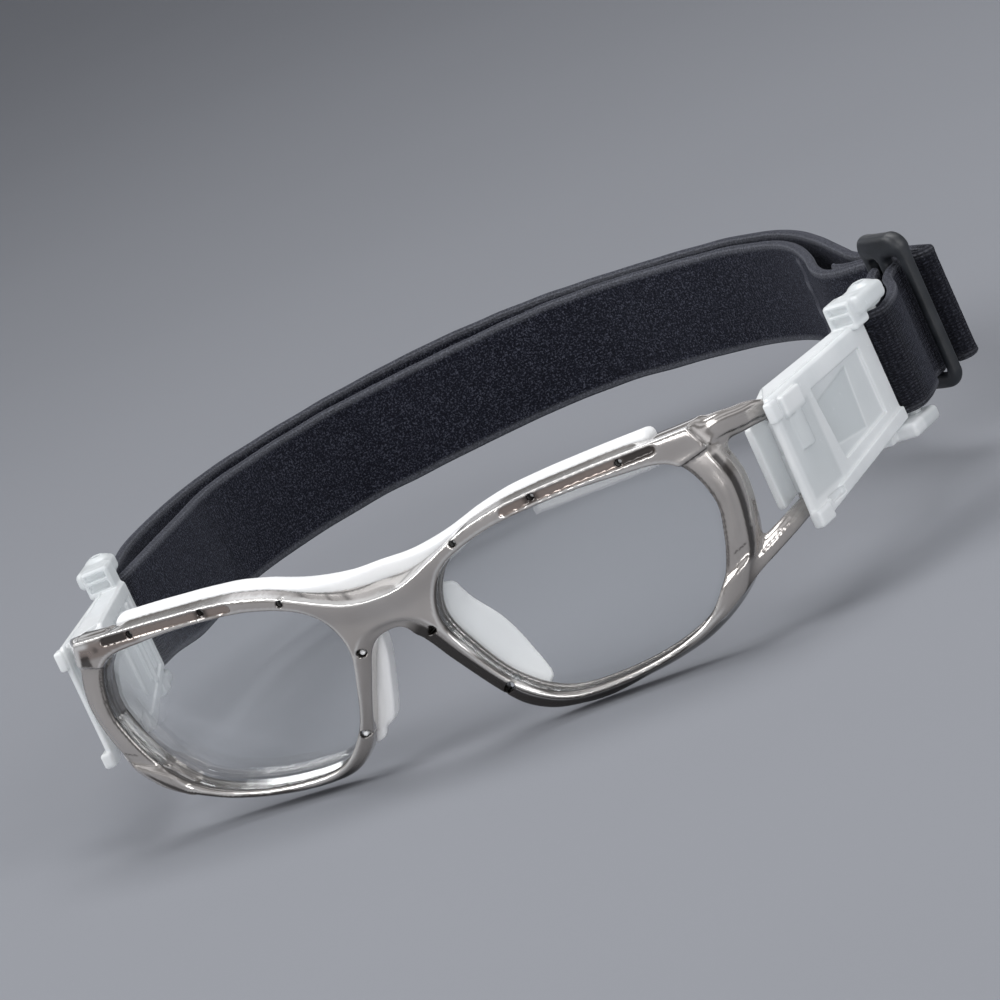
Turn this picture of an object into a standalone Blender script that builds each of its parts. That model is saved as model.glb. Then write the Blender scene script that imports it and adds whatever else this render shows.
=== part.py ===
"""Sports protective goggles: a one-piece moulded front with two clear lenses, silicone brow and
nose pads, a swivelling strap clip at each temple, and a doubled elastic strap with a slider.

The wearer looks along -Y, +Z is up, and +X is the wearer's left. The shapes are laid out from the
point on the bridge's front surface at eye height, and the last step moves the whole so that the
world origin is under the middle of it. Lengths are in millimetres; mesh() and finish() turn them
into metres. "side" is 1 for the wearer's left and -1 for the right.
"""

import math

import bmesh
import bpy
from mathutils import Matrix, Vector

MM = 0.001
GAP = 0.3  # clearance round the lens, and part of that behind the frame

# ---------------------------------------------------------------- front dimensions
WRAP_RADIUS = 267.0  # the front's curve round the face
LEAN = 0.0126  # how fast the front falls back above and below the eye line

LENS_OUTLINE = (  # x, z of the left lens opening, from the temple side downwards
    (62.4, -0.8), (61.4, -7.6), (58.2, -14.8), (52.6, -20.7), (44.0, -24.1),
    (33.0, -25.5), (23.0, -24.6), (16.2, -19.3), (11.8, -11.2), (9.5, -3.2),
    (13.6, 4.4), (23.5, 8.1), (36.0, 9.2), (48.5, 8.8), (58.6, 7.0),
)
OUTLINE_STEPS = 60
LENS_MIDDLE = Vector((36.0, -8.0))  # x, z
LENS_THICK = 2.0
LENS_BITE = 0.8  # reach into the rim's groove
LENS_SET_BACK = 1.9
LENS_RINGS = (0.35, 0.7, 1.0)  # mesh rings, as fractions of the way from middle to edge

RIM_NOSE, RIM_BOTTOM, RIM_TEMPLE, RIM_TOP = 3.3, 2.7, 4.9, 3.0  # widths
RIM_DEPTH, RIM_DEPTH_TEMPLE = 5.6, 7.0

RIDGE = (  # distance from the middle, height of the brow's top edge
    (0, 3.7), (6, 4.3), (10, 5.8), (15, 7.9), (18, 9.2),
    (21, 10.2), (28, 11.6), (36, 12.1), (46, 12.3), (60, 12.2),
)
BROW_HALF, BROW_STEPS = 62.5, 24  # half length, and sections in it
BROW_HEIGHT, BROW_PROUD = 3.9, 0.5
BROW_DEPTH, BROW_EXTRA_DEPTH = 6.4, 1.4  # the extra is added at the middle
BROW_MIDDLE_HALF = 18  # the extra fades out over this distance
BRIDGE_HALF, BRIDGE_STEPS = 13.5, 8
BRIDGE_DROP = 0.3  # top of the bridge below the ridge
BRIDGE_DEPTH = 5.8
BRIDGE_ARCH_TOP, BRIDGE_ARCH_CURVE = -3.0, 0.052

# ---------------------------------------------------------------- pad dimensions
BROW_PAD_HALF, BROW_PAD_STEPS = 54.0, 20
BROW_PAD_THICK, BROW_PAD_RISE = 2.9, 2.0  # thickness, and height above the ridge
BROW_PAD_END = 0.55  # thickness and rise at the two ends, as a fraction
PAD_GAP = GAP + 0.1  # between a pad and the frame
NOSE_PAD_TOP, NOSE_PAD_BOTTOM = -1.0, -20.5
NOSE_PAD_DEPTH = 6.3
NOSE_PAD_END = 0.35  # depth at the two ends, as a fraction
NOSE_PAD_FADE = 2  # sections over which an end reaches full depth

BROW_STUDS = ((17.8, 8.2), (34.0, 10.95), (50.5, 10.9))  # x, z
NOSE_PLUGS_Z = (-4.5, -17.0)
STUD_RADIUS, STUD_FIT, STUD_SIDES = 0.5, 0.1, 12
STUD_START = -0.2  # in front of the front surface
BROW_STUD_END, NOSE_PLUG_END = 7.6, 7.0  # behind the front surface

# ---------------------------------------------------------------- clip and hinge dimensions
# Clip axes: along (from the outer plate's front edge to the back), out (from its outer face), z.
CLIP_FRONT = (74.2, 20.7)  # x, y where the clip axes start
CLIP_SPLAY = math.atan2(7.7, 37.8)  # the clip opens outwards to the back by this angle
CLIP_LENGTH, CLIP_TOP = 38.0, 9.3
CLIP_BOTTOM_FRONT, CLIP_BOTTOM_REAR = -14.7, -10.8
CLIP_WIDE_FRONT, CLIP_WIDE_REAR = 7.2, 4.6  # box width at its mouth and at its back
WALL = 1.0

HINGE_ALONG, HINGE_OUT = 5.5, -3.75
PIN_RADIUS, LUG_RADIUS, BARREL_RADIUS = 0.8, 1.95, 1.7
PIN_HOLE_FIT, BORE_FIT = 0.06, 0.05
PIN_INSET = 0.1  # pin ends inside the outer lug faces
LUG_GAP = 0.35  # between a lug and the knuckle
UPPER_LUG, LOWER_LUG = (4.6, 7.9), (-13.0, -9.6)  # bottom, top

BAR_ALONG, BAR_OUT = 42.4, 0.8
BAR_RADIUS, BAR_FIT = 1.1, 0.06
BAR_BOTTOM, BAR_TOP = -13.6, 13.0
BRACKET_OUT = (-3.2, 2.6)  # the strap brackets' reach across the clip
BRACKET_END = BAR_ALONG + 2.4

# Temple arms from rim to hinge: x, y, z, half thickness, half height
UPPER_ARM = (
    (58.5, 9.4, 9.6, 2.0, 2.3), (64.5, 11.0, 9.3, 2.3, 2.6),
    (69.0, 14.6, 8.7, 1.9, 2.4), (71.0, 19.5, 7.4, 1.25, 2.0),
)
LOWER_ARM = (
    (56.5, 11.0, -20.4, 1.8, 2.0), (62.0, 11.6, -16.9, 1.9, 2.0),
    (66.8, 15.0, -14.2, 1.6, 1.8), (69.9, 19.6, -12.4, 1.2, 1.7),
)
ARMS = (  # stations, half thickness and half height at the lug, lug
    (UPPER_ARM, (1.35, 1.6), UPPER_LUG),
    (LOWER_ARM, (1.3, 1.6), LOWER_LUG),
)
ARM_END_AHEAD = 1.0  # the arm stops this far in front of the hinge axis
ARM_STEPS, ARM_SIDES = 10, 12
ARM_ROUNDING = 0.6  # 1 gives an elliptical section, 0 a square one

# ---------------------------------------------------------------- strap dimensions
STRAP_THICK = 1.5
STRAP_TOP, STRAP_BOTTOM = 9.6, -12.0
LOOP_TOP, LOOP_BOTTOM = STRAP_TOP, -10.2
LOOP_RADIUS = 2.2  # middle of the webbing where it turns round a bar
LOOP_STEPS = 12
LOOP_TAIL = ((8.5, 0.5), (4, 0.2))  # back from the bar, and sideways away from the face
STRAP_STEPS = 56
INNER_PATH = (  # x, y from the right clip round the back to the slider
    (-80.5, 79), (-81.6, 98), (-82.3, 110), (-80, 121.5), (-74.5, 134.5), (-67, 146),
    (-58, 153.8), (-50, 159.6), (-42, 164.8), (-32, 170), (-21, 172.8), (-10, 172.2),
    (4, 168.4), (17, 163.7), (27, 158), (36, 150.4), (43.4, 140.6), (50, 127.5),
    (55.2, 115), (59.9, 106.6), (65.4, 100.6), (71, 96.3), (75.6, 92.9),
)
OUTER_PATH = (  # x, y, the same way round
    (-88, 79), (-90.6, 92), (-91.2, 108), (-89.6, 124), (-85.4, 137), (-79, 149),
    (-71, 160), (-62, 169.5), (-52, 176.3), (-42, 180.2), (-31, 181.8), (-19, 181.2),
    (-6, 178.4), (8, 174.8), (20, 169.8), (30.5, 162.8), (40, 153), (48.5, 140.2),
    (56, 127.2), (62.2, 115.6),
)
SLIDER_AT = (79.0, 87.5)  # x, y
SLIDER_ACROSS = Vector((0.79, -0.61)).normalized()  # across the bars
SLIDER_FACE = Vector((-SLIDER_ACROSS.y, SLIDER_ACROSS.x))  # out of its face
SLIDER_HALF_WIDE, SLIDER_THICK = 6.6, 1.8
SLIDER_TOP, SLIDER_BOTTOM = 13.8, -14.6
SLIDER_CORNER = 2.2
SLIDER_SIDE_BAR, SLIDER_MIDDLE_BAR, SLIDER_END_BAR = 2.0, 2.4, 2.2  # widths
FOLD_AT = Vector((84.2, 94.4))  # x, y of the fold's centre


# ---------------------------------------------------------------- curves
def front_y(x, z):
    """How far back the front surface lies at this width and height."""
    wrap = x * x / (2 * WRAP_RADIUS) * (1 + x * x / (4 * WRAP_RADIUS**2))
    return wrap + 0.5 * LEAN * z * z


def catmull_rom(before, start, end, after, t):
    """The curve from start to end at fraction t, for numbers or vectors."""
    return 0.5 * (
        2 * start
        + (end - before) * t
        + (2 * before - 5 * start + 4 * end - after) * t * t
        + (3 * start - before - 3 * end + after) * t**3
    )


def spline(points, steps, closed=False):
    """Catmull-Rom curve through the points, at equal steps of arc."""
    points = [Vector(p) for p in points]
    count = len(points)
    if closed:
        padded = [points[-1], *points, points[0], points[1]]
    else:
        padded = [points[0] * 2 - points[1], *points, points[-1] * 2 - points[-2]]
    fine = []
    for i in range(count if closed else count - 1):
        fine += [catmull_rom(*padded[i:i + 4], k / 16) for k in range(16)]
    fine.append(fine[0] if closed else points[-1])
    lengths = [0.0]
    for p, q in zip(fine, fine[1:]):
        lengths.append(lengths[-1] + (q - p).length)
    curve, j = [], 0
    for i in range(steps if closed else steps + 1):
        wanted = lengths[-1] * i / steps
        while j < len(fine) - 2 and lengths[j + 1] < wanted:
            j += 1
        fraction = (wanted - lengths[j]) / (lengths[j + 1] - lengths[j])
        curve.append(fine[j].lerp(fine[j + 1], fraction))
    return curve


def ridge_z(x):
    """Straight-line reading of RIDGE, level beyond its last point."""
    x = abs(x)
    for (x0, z0), (x1, z1) in zip(RIDGE, RIDGE[1:]):
        if x <= x1:
            return z0 + (z1 - z0) * ((x - x0) / (x1 - x0))
    return RIDGE[-1][1]


# ---------------------------------------------------------------- solids
def mesh(name, verts, faces):
    """A mesh object from millimetre points, its faces turned outwards."""
    builder = bmesh.new()
    made = [builder.verts.new([c * MM for c in v]) for v in verts]
    for face in faces:
        builder.faces.new([made[i] for i in face])
    bmesh.ops.recalc_face_normals(builder, faces=builder.faces)
    data = bpy.data.meshes.new(name)
    builder.to_mesh(data)
    builder.free()
    obj = bpy.data.objects.new(name, data)
    bpy.context.scene.collection.objects.link(obj)
    return obj


def loft(name, sections, closed=False):
    """A solid through sections of equally many points, capped unless it closes on itself."""
    count, size = len(sections), len(sections[0])
    verts = [p for section in sections for p in section]
    faces = []
    for i in range(count if closed else count - 1):
        j = (i + 1) % count
        for k in range(size):
            q = (k + 1) % size
            faces.append((i * size + k, i * size + q, j * size + q, j * size + k))
    if not closed:
        faces += [tuple(range(size)), tuple(range((count - 1) * size, count * size))]
    return mesh(name, verts, faces)


def loft_across(name, half, steps, profile):
    """A loft from -half to half in x; profile(x) gives the section's y, z points."""
    stations = [half * i / steps for i in range(-steps, steps + 1)]
    return loft(name, [[(x, y, z) for y, z in profile(x)] for x in stations])


def prism(name, outline, start, end, place):
    """An outline (a, b) pushed from start to end along c; place(a, b, c) gives x, y, z."""
    return loft(name, [[place(a, b, c) for a, b in outline] for c in (start, end)])


def rod(name, centre, axis, radius, start, end, sides):
    centre, axis = Vector(centre), Vector(axis)
    across = axis.orthogonal().normalized()
    up = axis.cross(across)
    angles = [2 * math.pi * k / sides for k in range(sides)]
    return loft(name, [
        [centre + axis * c + (across * math.cos(a) + up * math.sin(a)) * radius for a in angles]
        for c in (start, end)
    ])


def upright(name, centre, radius, bottom, top):
    return rod(name, centre, (0, 0, 1), radius, bottom, top, sides=20)


def combine(obj, other, operation):
    """Joins or cuts, and uses up the second solid."""
    modifier = obj.modifiers.new(operation, "BOOLEAN")
    modifier.operation = operation
    modifier.solver = "EXACT"
    modifier.object = other
    bpy.context.view_layer.update()
    evaluated = obj.evaluated_get(bpy.context.evaluated_depsgraph_get())
    data = bpy.data.meshes.new_from_object(evaluated)
    obj.modifiers.clear()
    old_data, other_data = obj.data, other.data
    obj.data = data
    bpy.data.meshes.remove(old_data)
    bpy.data.objects.remove(other)
    bpy.data.meshes.remove(other_data)


def join(obj, *others):
    for other in others:
        combine(obj, other, "UNION")
    return obj


def cut(obj, *others):
    for other in others:
        combine(obj, other, "DIFFERENCE")
    return obj


def finish(obj, mat, origin=None):
    """Gives the piece its material, and its origin at a point or at the middle of its box."""
    obj.data.materials.clear()
    obj.data.materials.append(mat)
    if origin is None:
        at = sum((Vector(c) for c in obj.bound_box), Vector()) / 8
    else:
        at = Vector([c * MM for c in origin])
    obj.data.transform(Matrix.Translation(-at))
    obj.location = at


# ---------------------------------------------------------------- lens outline and rims
OUTLINE = spline(LENS_OUTLINE, OUTLINE_STEPS, closed=True)


def outward(i):
    """Unit normal of the outline at step i, pointing away from the lens."""
    tangent = (OUTLINE[(i + 1) % len(OUTLINE)] - OUTLINE[i - 1]).normalized()
    normal = Vector((-tangent.y, tangent.x))
    return normal if normal.dot(OUTLINE[i] - LENS_MIDDLE) > 0 else -normal


NORMALS = [outward(i) for i in range(len(OUTLINE))]


def rim_width(normal):
    temple, nose = max(normal.x, 0) ** 2, max(-normal.x, 0) ** 2
    bottom, top = max(-normal.y, 0) ** 2, max(normal.y, 0) ** 2
    return RIM_TEMPLE * temple + RIM_NOSE * nose + RIM_BOTTOM * bottom + RIM_TOP * top


def rim_depth(normal):
    return RIM_DEPTH + (RIM_DEPTH_TEMPLE - RIM_DEPTH) * max(normal.x, 0) ** 2


def on_front(side, point, back):
    """The x, y, z of an outline point this far behind the front surface."""
    return (side * point.x, front_y(point.x, point.y) + back, point.y)


def rim_section(side, i, profile):
    """Profile points (out from the lens outline, back) placed at outline step i."""
    return [on_front(side, OUTLINE[i] + NORMALS[i] * out, back) for out, back in profile]


def rim(name, side):
    sections = []
    for i, normal in enumerate(NORMALS):
        width, depth = rim_width(normal), rim_depth(normal)
        sections.append(rim_section(side, i, (
            (0, 0.6), (0.7, 0), (width - 0.8, 0.1), (width, 1.1),
            (width, depth - 0.7), (width - 0.7, depth), (0.5, depth), (0, depth - 0.5),
        )))
    return loft(name, sections, closed=True)


def lens_solid(name, side, grow, thick, set_back, rings):
    """A curved plate with the lens outline grown by this much."""
    edge = [p + normal * grow for p, normal in zip(OUTLINE, NORMALS)]
    count = len(edge)
    verts, faces, outer_rings = [], [], []
    for back in (set_back, set_back + thick):
        middle = len(verts)
        verts.append(on_front(side, LENS_MIDDLE, back))
        for fraction in rings:
            verts += [on_front(side, LENS_MIDDLE.lerp(p, fraction), back) for p in edge]
        starts = [middle + 1 + r * count for r in range(len(rings))]
        outer_rings.append(starts[-1])
        for k in range(count):
            q = (k + 1) % count
            faces.append((middle, starts[0] + k, starts[0] + q))
            for a, b in zip(starts, starts[1:]):
                faces.append((a + k, b + k, b + q, a + q))
    a, b = outer_rings
    for k in range(count):
        q = (k + 1) % count
        faces.append((a + k, a + q, b + q, b + k))
    return mesh(name, verts, faces)


def lens(name, side):
    return lens_solid(name, side, LENS_BITE, LENS_THICK, LENS_SET_BACK, LENS_RINGS)


def lens_seat(side):
    """The groove cutter: the lens with clearance all round."""
    return lens_solid(
        "seat", side, LENS_BITE + GAP, LENS_THICK + 2 * GAP, LENS_SET_BACK - GAP, (1.0,)
    )


def opening_cutter(side):
    return prism("opening", OUTLINE, -8, 30, lambda x, z, y: (side * x, y, z))


# ---------------------------------------------------------------- studs
def stud(side, x, z, radius, start, end):
    """A rod running back from near the front surface."""
    centre = (side * x, front_y(x, z), z)
    return rod("stud", centre, (0, 1, 0), radius, start, end, STUD_SIDES)


def nose_step(z):
    """The outline step on the nose side nearest this height."""
    nose_side = [i for i, normal in enumerate(NORMALS) if normal.x < -0.6]
    return min(nose_side, key=lambda i: abs(OUTLINE[i].y - z))


def nose_plug_at(z):
    """The x, z of a plug in the nose side of the rim."""
    i = nose_step(z)
    return OUTLINE[i] + NORMALS[i] * (RIM_NOSE * 0.55)


# ---------------------------------------------------------------- clip axes
def clip_point(side, along, out, z):
    """From clip axes to x, y, z."""
    cos, sin = math.cos(CLIP_SPLAY), math.sin(CLIP_SPLAY)
    x = CLIP_FRONT[0] + along * sin + out * cos
    return (side * x, CLIP_FRONT[1] + along * cos - out * sin, z)


def hinge_at(side):
    return clip_point(side, HINGE_ALONG, HINGE_OUT, 0)


def bar_at(side):
    return clip_point(side, BAR_ALONG, BAR_OUT, 0)


# ---------------------------------------------------------------- front frame
def middle_share(x):
    """1 at the middle of the brow, fading to 0."""
    return max(0.0, 1 - abs(x) / BROW_MIDDLE_HALF)


def brow_front(x):
    return front_y(x, ridge_z(x)) - BROW_PROUD


def brow_depth(x):
    return BROW_DEPTH + BROW_EXTRA_DEPTH * middle_share(x)


def brow_bar():
    def profile(x):
        top, y = ridge_z(x), brow_front(x)
        bottom, rear = top - BROW_HEIGHT, y + brow_depth(x)
        return (
            (y + 0.5, bottom), (y, bottom + 0.7), (y + 0.1, top - 0.4), (y + 0.7, top),
            (rear, top + 0.5 + 0.6 * middle_share(x)), (rear, bottom),
        )
    return loft_across("brow", BROW_HALF, BROW_STEPS, profile)


def bridge():
    def profile(x):
        top, y = ridge_z(x) - BRIDGE_DROP, front_y(x, 0)
        bottom = BRIDGE_ARCH_TOP - BRIDGE_ARCH_CURVE * x * x
        rear = y + BRIDGE_DEPTH
        return (
            (y + 0.9, bottom), (y - 0.1, bottom + 0.9), (y - 0.25, top),
            (rear, top), (rear, bottom + 1.6), (y + 4.8, bottom + 0.2),
        )
    return loft_across("bridge", BRIDGE_HALF, BRIDGE_STEPS, profile)


def rounded(value):
    """A cosine or sine, pushed out towards a squarer section."""
    return math.copysign(abs(value) ** ARM_ROUNDING, value)


def arm(side, stations):
    """A temple arm of rounded section through the stations."""
    def beyond(end, inner):
        return tuple(2 * p - q for p, q in zip(end, inner))

    padded = [
        beyond(stations[0], stations[1]), *stations, beyond(stations[-1], stations[-2])
    ]
    spans = len(stations) - 1
    rows = []
    for i in range(ARM_STEPS + 1):
        t = spans * i / ARM_STEPS
        k = min(int(t), spans - 1)
        rows.append([catmull_rom(*values, t - k) for values in zip(*padded[k:k + 4])])
    sections = []
    for i, (x, y, z, half_thick, half_high) in enumerate(rows):
        a, b = rows[max(i - 1, 0)], rows[min(i + 1, ARM_STEPS)]
        way = Vector((b[0] - a[0], b[1] - a[1])).normalized()
        ring = []
        for k in range(ARM_SIDES):
            angle = 2 * math.pi * k / ARM_SIDES
            out = rounded(math.cos(angle)) * half_thick
            up = rounded(math.sin(angle)) * half_high
            ring.append((side * (x + way.y * out), y - way.x * out, z + up))
        sections.append(ring)
    return loft("arm", sections)


def front_frame(name):
    frame = join(rim(name, 1), rim("rim", -1), brow_bar(), bridge())
    x, y, _ = hinge_at(1)
    for side in (1, -1):
        for stations, half_sizes, lug in ARMS:
            end = (x, y - ARM_END_AHEAD, sum(lug) / 2, *half_sizes)
            join(frame, arm(side, (*stations, end)))
        for lug in (UPPER_LUG, LOWER_LUG):
            join(frame, upright("lug", hinge_at(side), LUG_RADIUS, *lug))
    hole_radius = STUD_RADIUS + STUD_FIT
    for side in (1, -1):
        cut(
            frame,
            opening_cutter(side),
            lens_seat(side),
            upright("pin_hole", hinge_at(side), PIN_RADIUS + PIN_HOLE_FIT, -16, 12),
        )
        for x, z in BROW_STUDS:
            cut(frame, stud(side, x, z, hole_radius, -3, 10))
        for z in NOSE_PLUGS_Z:
            cut(frame, stud(side, *nose_plug_at(z), hole_radius, -3, 9))
    return frame


# ---------------------------------------------------------------- pads
def brow_pad(name):
    """A silicone strip behind the brow bar, standing a little above it, with its studs."""
    def profile(x):
        share = 1.0 if abs(x) < BROW_PAD_HALF else BROW_PAD_END
        y = brow_front(x) + brow_depth(x) + PAD_GAP
        top = ridge_z(x) + BROW_PAD_RISE * share + 0.4 * middle_share(x)
        bottom = ridge_z(x) - BROW_HEIGHT + 0.9
        rear = y + BROW_PAD_THICK * share
        return (
            (y, bottom), (y, top - 0.7), (y + 0.7, top), (rear - 0.9, top),
            (rear, top - 0.9), (rear, bottom + 0.8), (rear - 0.8, bottom),
        )
    pad = loft_across(name, BROW_PAD_HALF, BROW_PAD_STEPS, profile)
    for side in (1, -1):
        for x, z in BROW_STUDS:
            join(pad, stud(side, x, z, STUD_RADIUS, STUD_START, BROW_STUD_END))
    return pad


def nose_pad(name, side):
    """A soft wing along the nose side of a rim, flaring back to the face."""
    steps = range(nose_step(NOSE_PAD_BOTTOM), nose_step(NOSE_PAD_TOP) + 1)
    sections = []
    for k, i in enumerate(steps):
        width, depth = rim_width(NORMALS[i]), rim_depth(NORMALS[i])
        from_end = min(k, len(steps) - 1 - k)
        share = min(1.0, NOSE_PAD_END + (1 - NOSE_PAD_END) * from_end / NOSE_PAD_FADE)
        front, tip = depth + PAD_GAP, depth + GAP + NOSE_PAD_DEPTH * share
        sections.append(rim_section(side, i, (
            (width + 1.9, depth + 0.5), (width + 2.3, depth + 1.6), (width + 1.5, depth + 3.6),
            (width - 0.8, tip), (width - 2.3, tip + 0.3), (width - 3.2, tip - 0.6),
            (width - 2.2, depth + 2.6), (0.8, depth + 1.5), (0.8, front), (width + 1.2, front),
        )))
    pad = loft(name, sections)
    for z in NOSE_PLUGS_Z:
        join(pad, stud(side, *nose_plug_at(z), STUD_RADIUS, STUD_START, NOSE_PLUG_END))
    return pad


# ---------------------------------------------------------------- clips
def clip_wide(along):
    return CLIP_WIDE_FRONT + (CLIP_WIDE_REAR - CLIP_WIDE_FRONT) * along / CLIP_LENGTH


def clip_plan(name, side, outline, bottom, top):
    """A plan outline (along, out) pushed upwards."""
    return prism(name, outline, bottom, top, lambda u, n, z: clip_point(side, u, n, z))


def clip_plate(name, side, outline, inner, outer):
    """A side-view outline (along, z) pushed outwards."""
    return prism(name, outline, inner, outer, lambda u, z, n: clip_point(side, u, n, z))


def clip_box(side, along, out, heights):
    (front, rear), (inner, outer) = along, out
    outline = ((front, inner), (rear, inner), (rear, outer), (front, outer))
    return clip_plan("box", side, outline, *heights)


def clip_housing(name, side):
    """The moulded inner half of a clip: inner plate, roof, back wall and two strap brackets."""
    plate = (  # along, z
        (0.3, 4.0), (9.0, CLIP_TOP), (CLIP_LENGTH, CLIP_TOP), (CLIP_LENGTH, -9.2),
        (15.0, -13.6), (9.5, -13.6), (9.5, -8.9), (0.3, -8.9),
    )
    inner_rear = -clip_wide(CLIP_LENGTH)
    roof = (  # along, out
        (0.5, -1.5), (CLIP_LENGTH - 0.3, -1.5),
        (CLIP_LENGTH - 0.3, 0.3 + inner_rear), (9.0, 0.3 - clip_wide(9)),
    )
    boxes = (  # along, out, z
        # back wall
        ((CLIP_LENGTH - 1.2, CLIP_LENGTH - 0.1), (0.4 + inner_rear, -1.55), (-9.0, CLIP_TOP - 0.4)),
        # two ribs
        ((18, 19), (-clip_wide(18) + 0.5, -1.9), (-9.5, 5.0)),
        ((27, 28), (-clip_wide(27) + 0.5, -1.9), (-8.6, 5.1)),
        # upper bracket's post and arm
        ((33.0, CLIP_LENGTH - 0.05), (-4.3, -1.6), (CLIP_TOP - 0.6, 13.1)),
        ((33.4, BRACKET_END), BRACKET_OUT, (10.5, 13.2)),
        # lower bracket's post and arm
        ((33.0, CLIP_LENGTH - 0.15), (-4.35, -1.65), (-13.7, -8.7)),
        ((CLIP_LENGTH - 2.5, BRACKET_END), BRACKET_OUT, (-13.8, -11.1)),
    )
    # the inner plate follows the box's taper
    body = prism(
        name, plate, 0, WALL, lambda u, z, n: clip_point(side, u, n - clip_wide(u), z)
    )
    join(body, clip_plan("roof", side, roof, CLIP_TOP - 0.95, CLIP_TOP - 0.05))
    for box in boxes:
        join(body, clip_box(side, *box))
    return cut(body, upright("bar_hole", bar_at(side), BAR_RADIUS + BAR_FIT, -20, 20))


def clip_cover(name, side):
    """The outer plate, with a flange along its foot, a recessed panel and a slot at its front."""
    rear = CLIP_LENGTH - 0.3
    plate = (  # along, z, as in the two outlines below
        (-1.2, CLIP_BOTTOM_FRONT + 0.6), (-0.6, CLIP_BOTTOM_FRONT), (1.4, CLIP_BOTTOM_FRONT),
        (CLIP_LENGTH, CLIP_BOTTOM_REAR), (CLIP_LENGTH, CLIP_TOP), (-0.6, CLIP_TOP),
    )
    foot = (
        (1.0, CLIP_BOTTOM_FRONT + 0.2), (rear, CLIP_BOTTOM_REAR + 0.2),
        (rear, CLIP_BOTTOM_REAR + 2.3), (1.0, CLIP_BOTTOM_FRONT + 2.3),
    )
    panel = ((14.2, 5.2), (32.6, 5.2), (32.6, -7.4), (14.2, -8.6))
    body = clip_plate(name, side, plate, -1.2, 0)
    join(body, clip_plate("foot", side, foot, -0.5, 0.7))
    return cut(
        body,
        clip_plate("panel", side, panel, -0.6, 3),
        clip_box(side, (5.0, 9.0), (-3, 3), (-11.0, -9.8)),
    )


def clip_knuckle(name, side):
    """The knuckle between the frame's two lugs, bored for the pin, with a block in the box."""
    hinge = hinge_at(side)
    bottom, top = LOWER_LUG[1] + LUG_GAP, UPPER_LUG[0] - LUG_GAP
    block_inner = -clip_wide(12) + WALL + 0.4
    return cut(
        join(
            upright(name, hinge, LUG_RADIUS, bottom, -2.2),
            upright("barrel", hinge, BARREL_RADIUS, -2.6, top),
            # web, then block
            clip_box(side, (HINGE_ALONG + 1.15, 15.0), (-5.0, -2.4), (-8.9, top - 0.7)),
            clip_box(side, (10.0, 15.5), (block_inner, -1.6), (-8.2, 6.6)),
        ),
        upright("bore", hinge, PIN_RADIUS + BORE_FIT, -12, 8),
    )


def hinge_pin(name, side):
    bottom, top = LOWER_LUG[0] + PIN_INSET, UPPER_LUG[1] - PIN_INSET
    return upright(name, hinge_at(side), PIN_RADIUS, bottom, top)


def strap_bar(name, side):
    return upright(name, bar_at(side), BAR_RADIUS, BAR_BOTTOM, BAR_TOP)


# ---------------------------------------------------------------- strap
def band(name, path, bottom=STRAP_BOTTOM, top=STRAP_TOP):
    """Elastic webbing standing on edge along a plan path."""
    line = [Vector(p) for p in path]
    sections = []
    for i, p in enumerate(line):
        way = (line[min(i + 1, len(line) - 1)] - line[max(i - 1, 0)]).normalized()
        offset = Vector((-way.y, way.x)) * STRAP_THICK / 2
        a, b = p + offset, p - offset
        sections.append([(*a, bottom), (*b, bottom), (*b, top), (*a, top)])
    return loft(name, sections)


def half_turn(x, y, start):
    """Plan points of half a circle from this angle in degrees, anticlockwise from above."""
    angles = [math.radians(start + 180 * i / LOOP_STEPS) for i in range(LOOP_STEPS + 1)]
    return [(x + LOOP_RADIUS * math.cos(a), y + LOOP_RADIUS * math.sin(a)) for a in angles]


def clip_loop(name, side):
    """Webbing doubled round a clip's bar, open to the back."""
    x, y, _ = bar_at(side)
    path = half_turn(x, y, 180)
    first, last = (
        [(end[0] + side * shift, y + back) for back, shift in LOOP_TAIL]
        for end in (path[0], path[-1])
    )
    return band(name, first + path + last[::-1], LOOP_BOTTOM, LOOP_TOP)


def slider_fold(name):
    """Webbing doubled in a half turn beside the slider."""
    way = SLIDER_ACROSS
    path = half_turn(*FOLD_AT, math.degrees(math.atan2(way.y, way.x)) - 90)
    a, b = Vector(path[0]), Vector(path[-1])
    return band(name, [a - way * 9, a - way * 4, *path, b - way * 4, b - way * 7])


def slider_point(across, z, out):
    """From slider axes to x, y, z."""
    x = SLIDER_AT[0] + SLIDER_ACROSS.x * across + SLIDER_FACE.x * out
    y = SLIDER_AT[1] + SLIDER_ACROSS.y * across + SLIDER_FACE.y * out
    return (x, y, z)


def slider(name):
    """A three-bar strap slider with rounded corners."""
    half_x = SLIDER_HALF_WIDE - SLIDER_CORNER
    top_z, bottom_z = SLIDER_TOP - SLIDER_CORNER, SLIDER_BOTTOM + SLIDER_CORNER
    corners = (  # centre across, centre z, first angle
        (half_x, top_z, 0), (-half_x, top_z, 90), (-half_x, bottom_z, 180), (half_x, bottom_z, 270),
    )
    outline = []
    for across, z, first in corners:
        for k in range(5):
            a = math.radians(first + 22.5 * k)
            outline.append((across + SLIDER_CORNER * math.cos(a), z + SLIDER_CORNER * math.sin(a)))
    body = prism(name, outline, -SLIDER_THICK / 2, SLIDER_THICK / 2, slider_point)
    near, far = SLIDER_MIDDLE_BAR / 2, SLIDER_HALF_WIDE - SLIDER_SIDE_BAR
    bottom, top = SLIDER_BOTTOM + SLIDER_END_BAR, SLIDER_TOP - SLIDER_END_BAR
    for a, b in ((-far, -near), (near, far)):
        slot = ((a, bottom), (b, bottom), (b, top), (a, top))
        cut(body, prism("slot", slot, -5, 5, slider_point))
    return body


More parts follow.
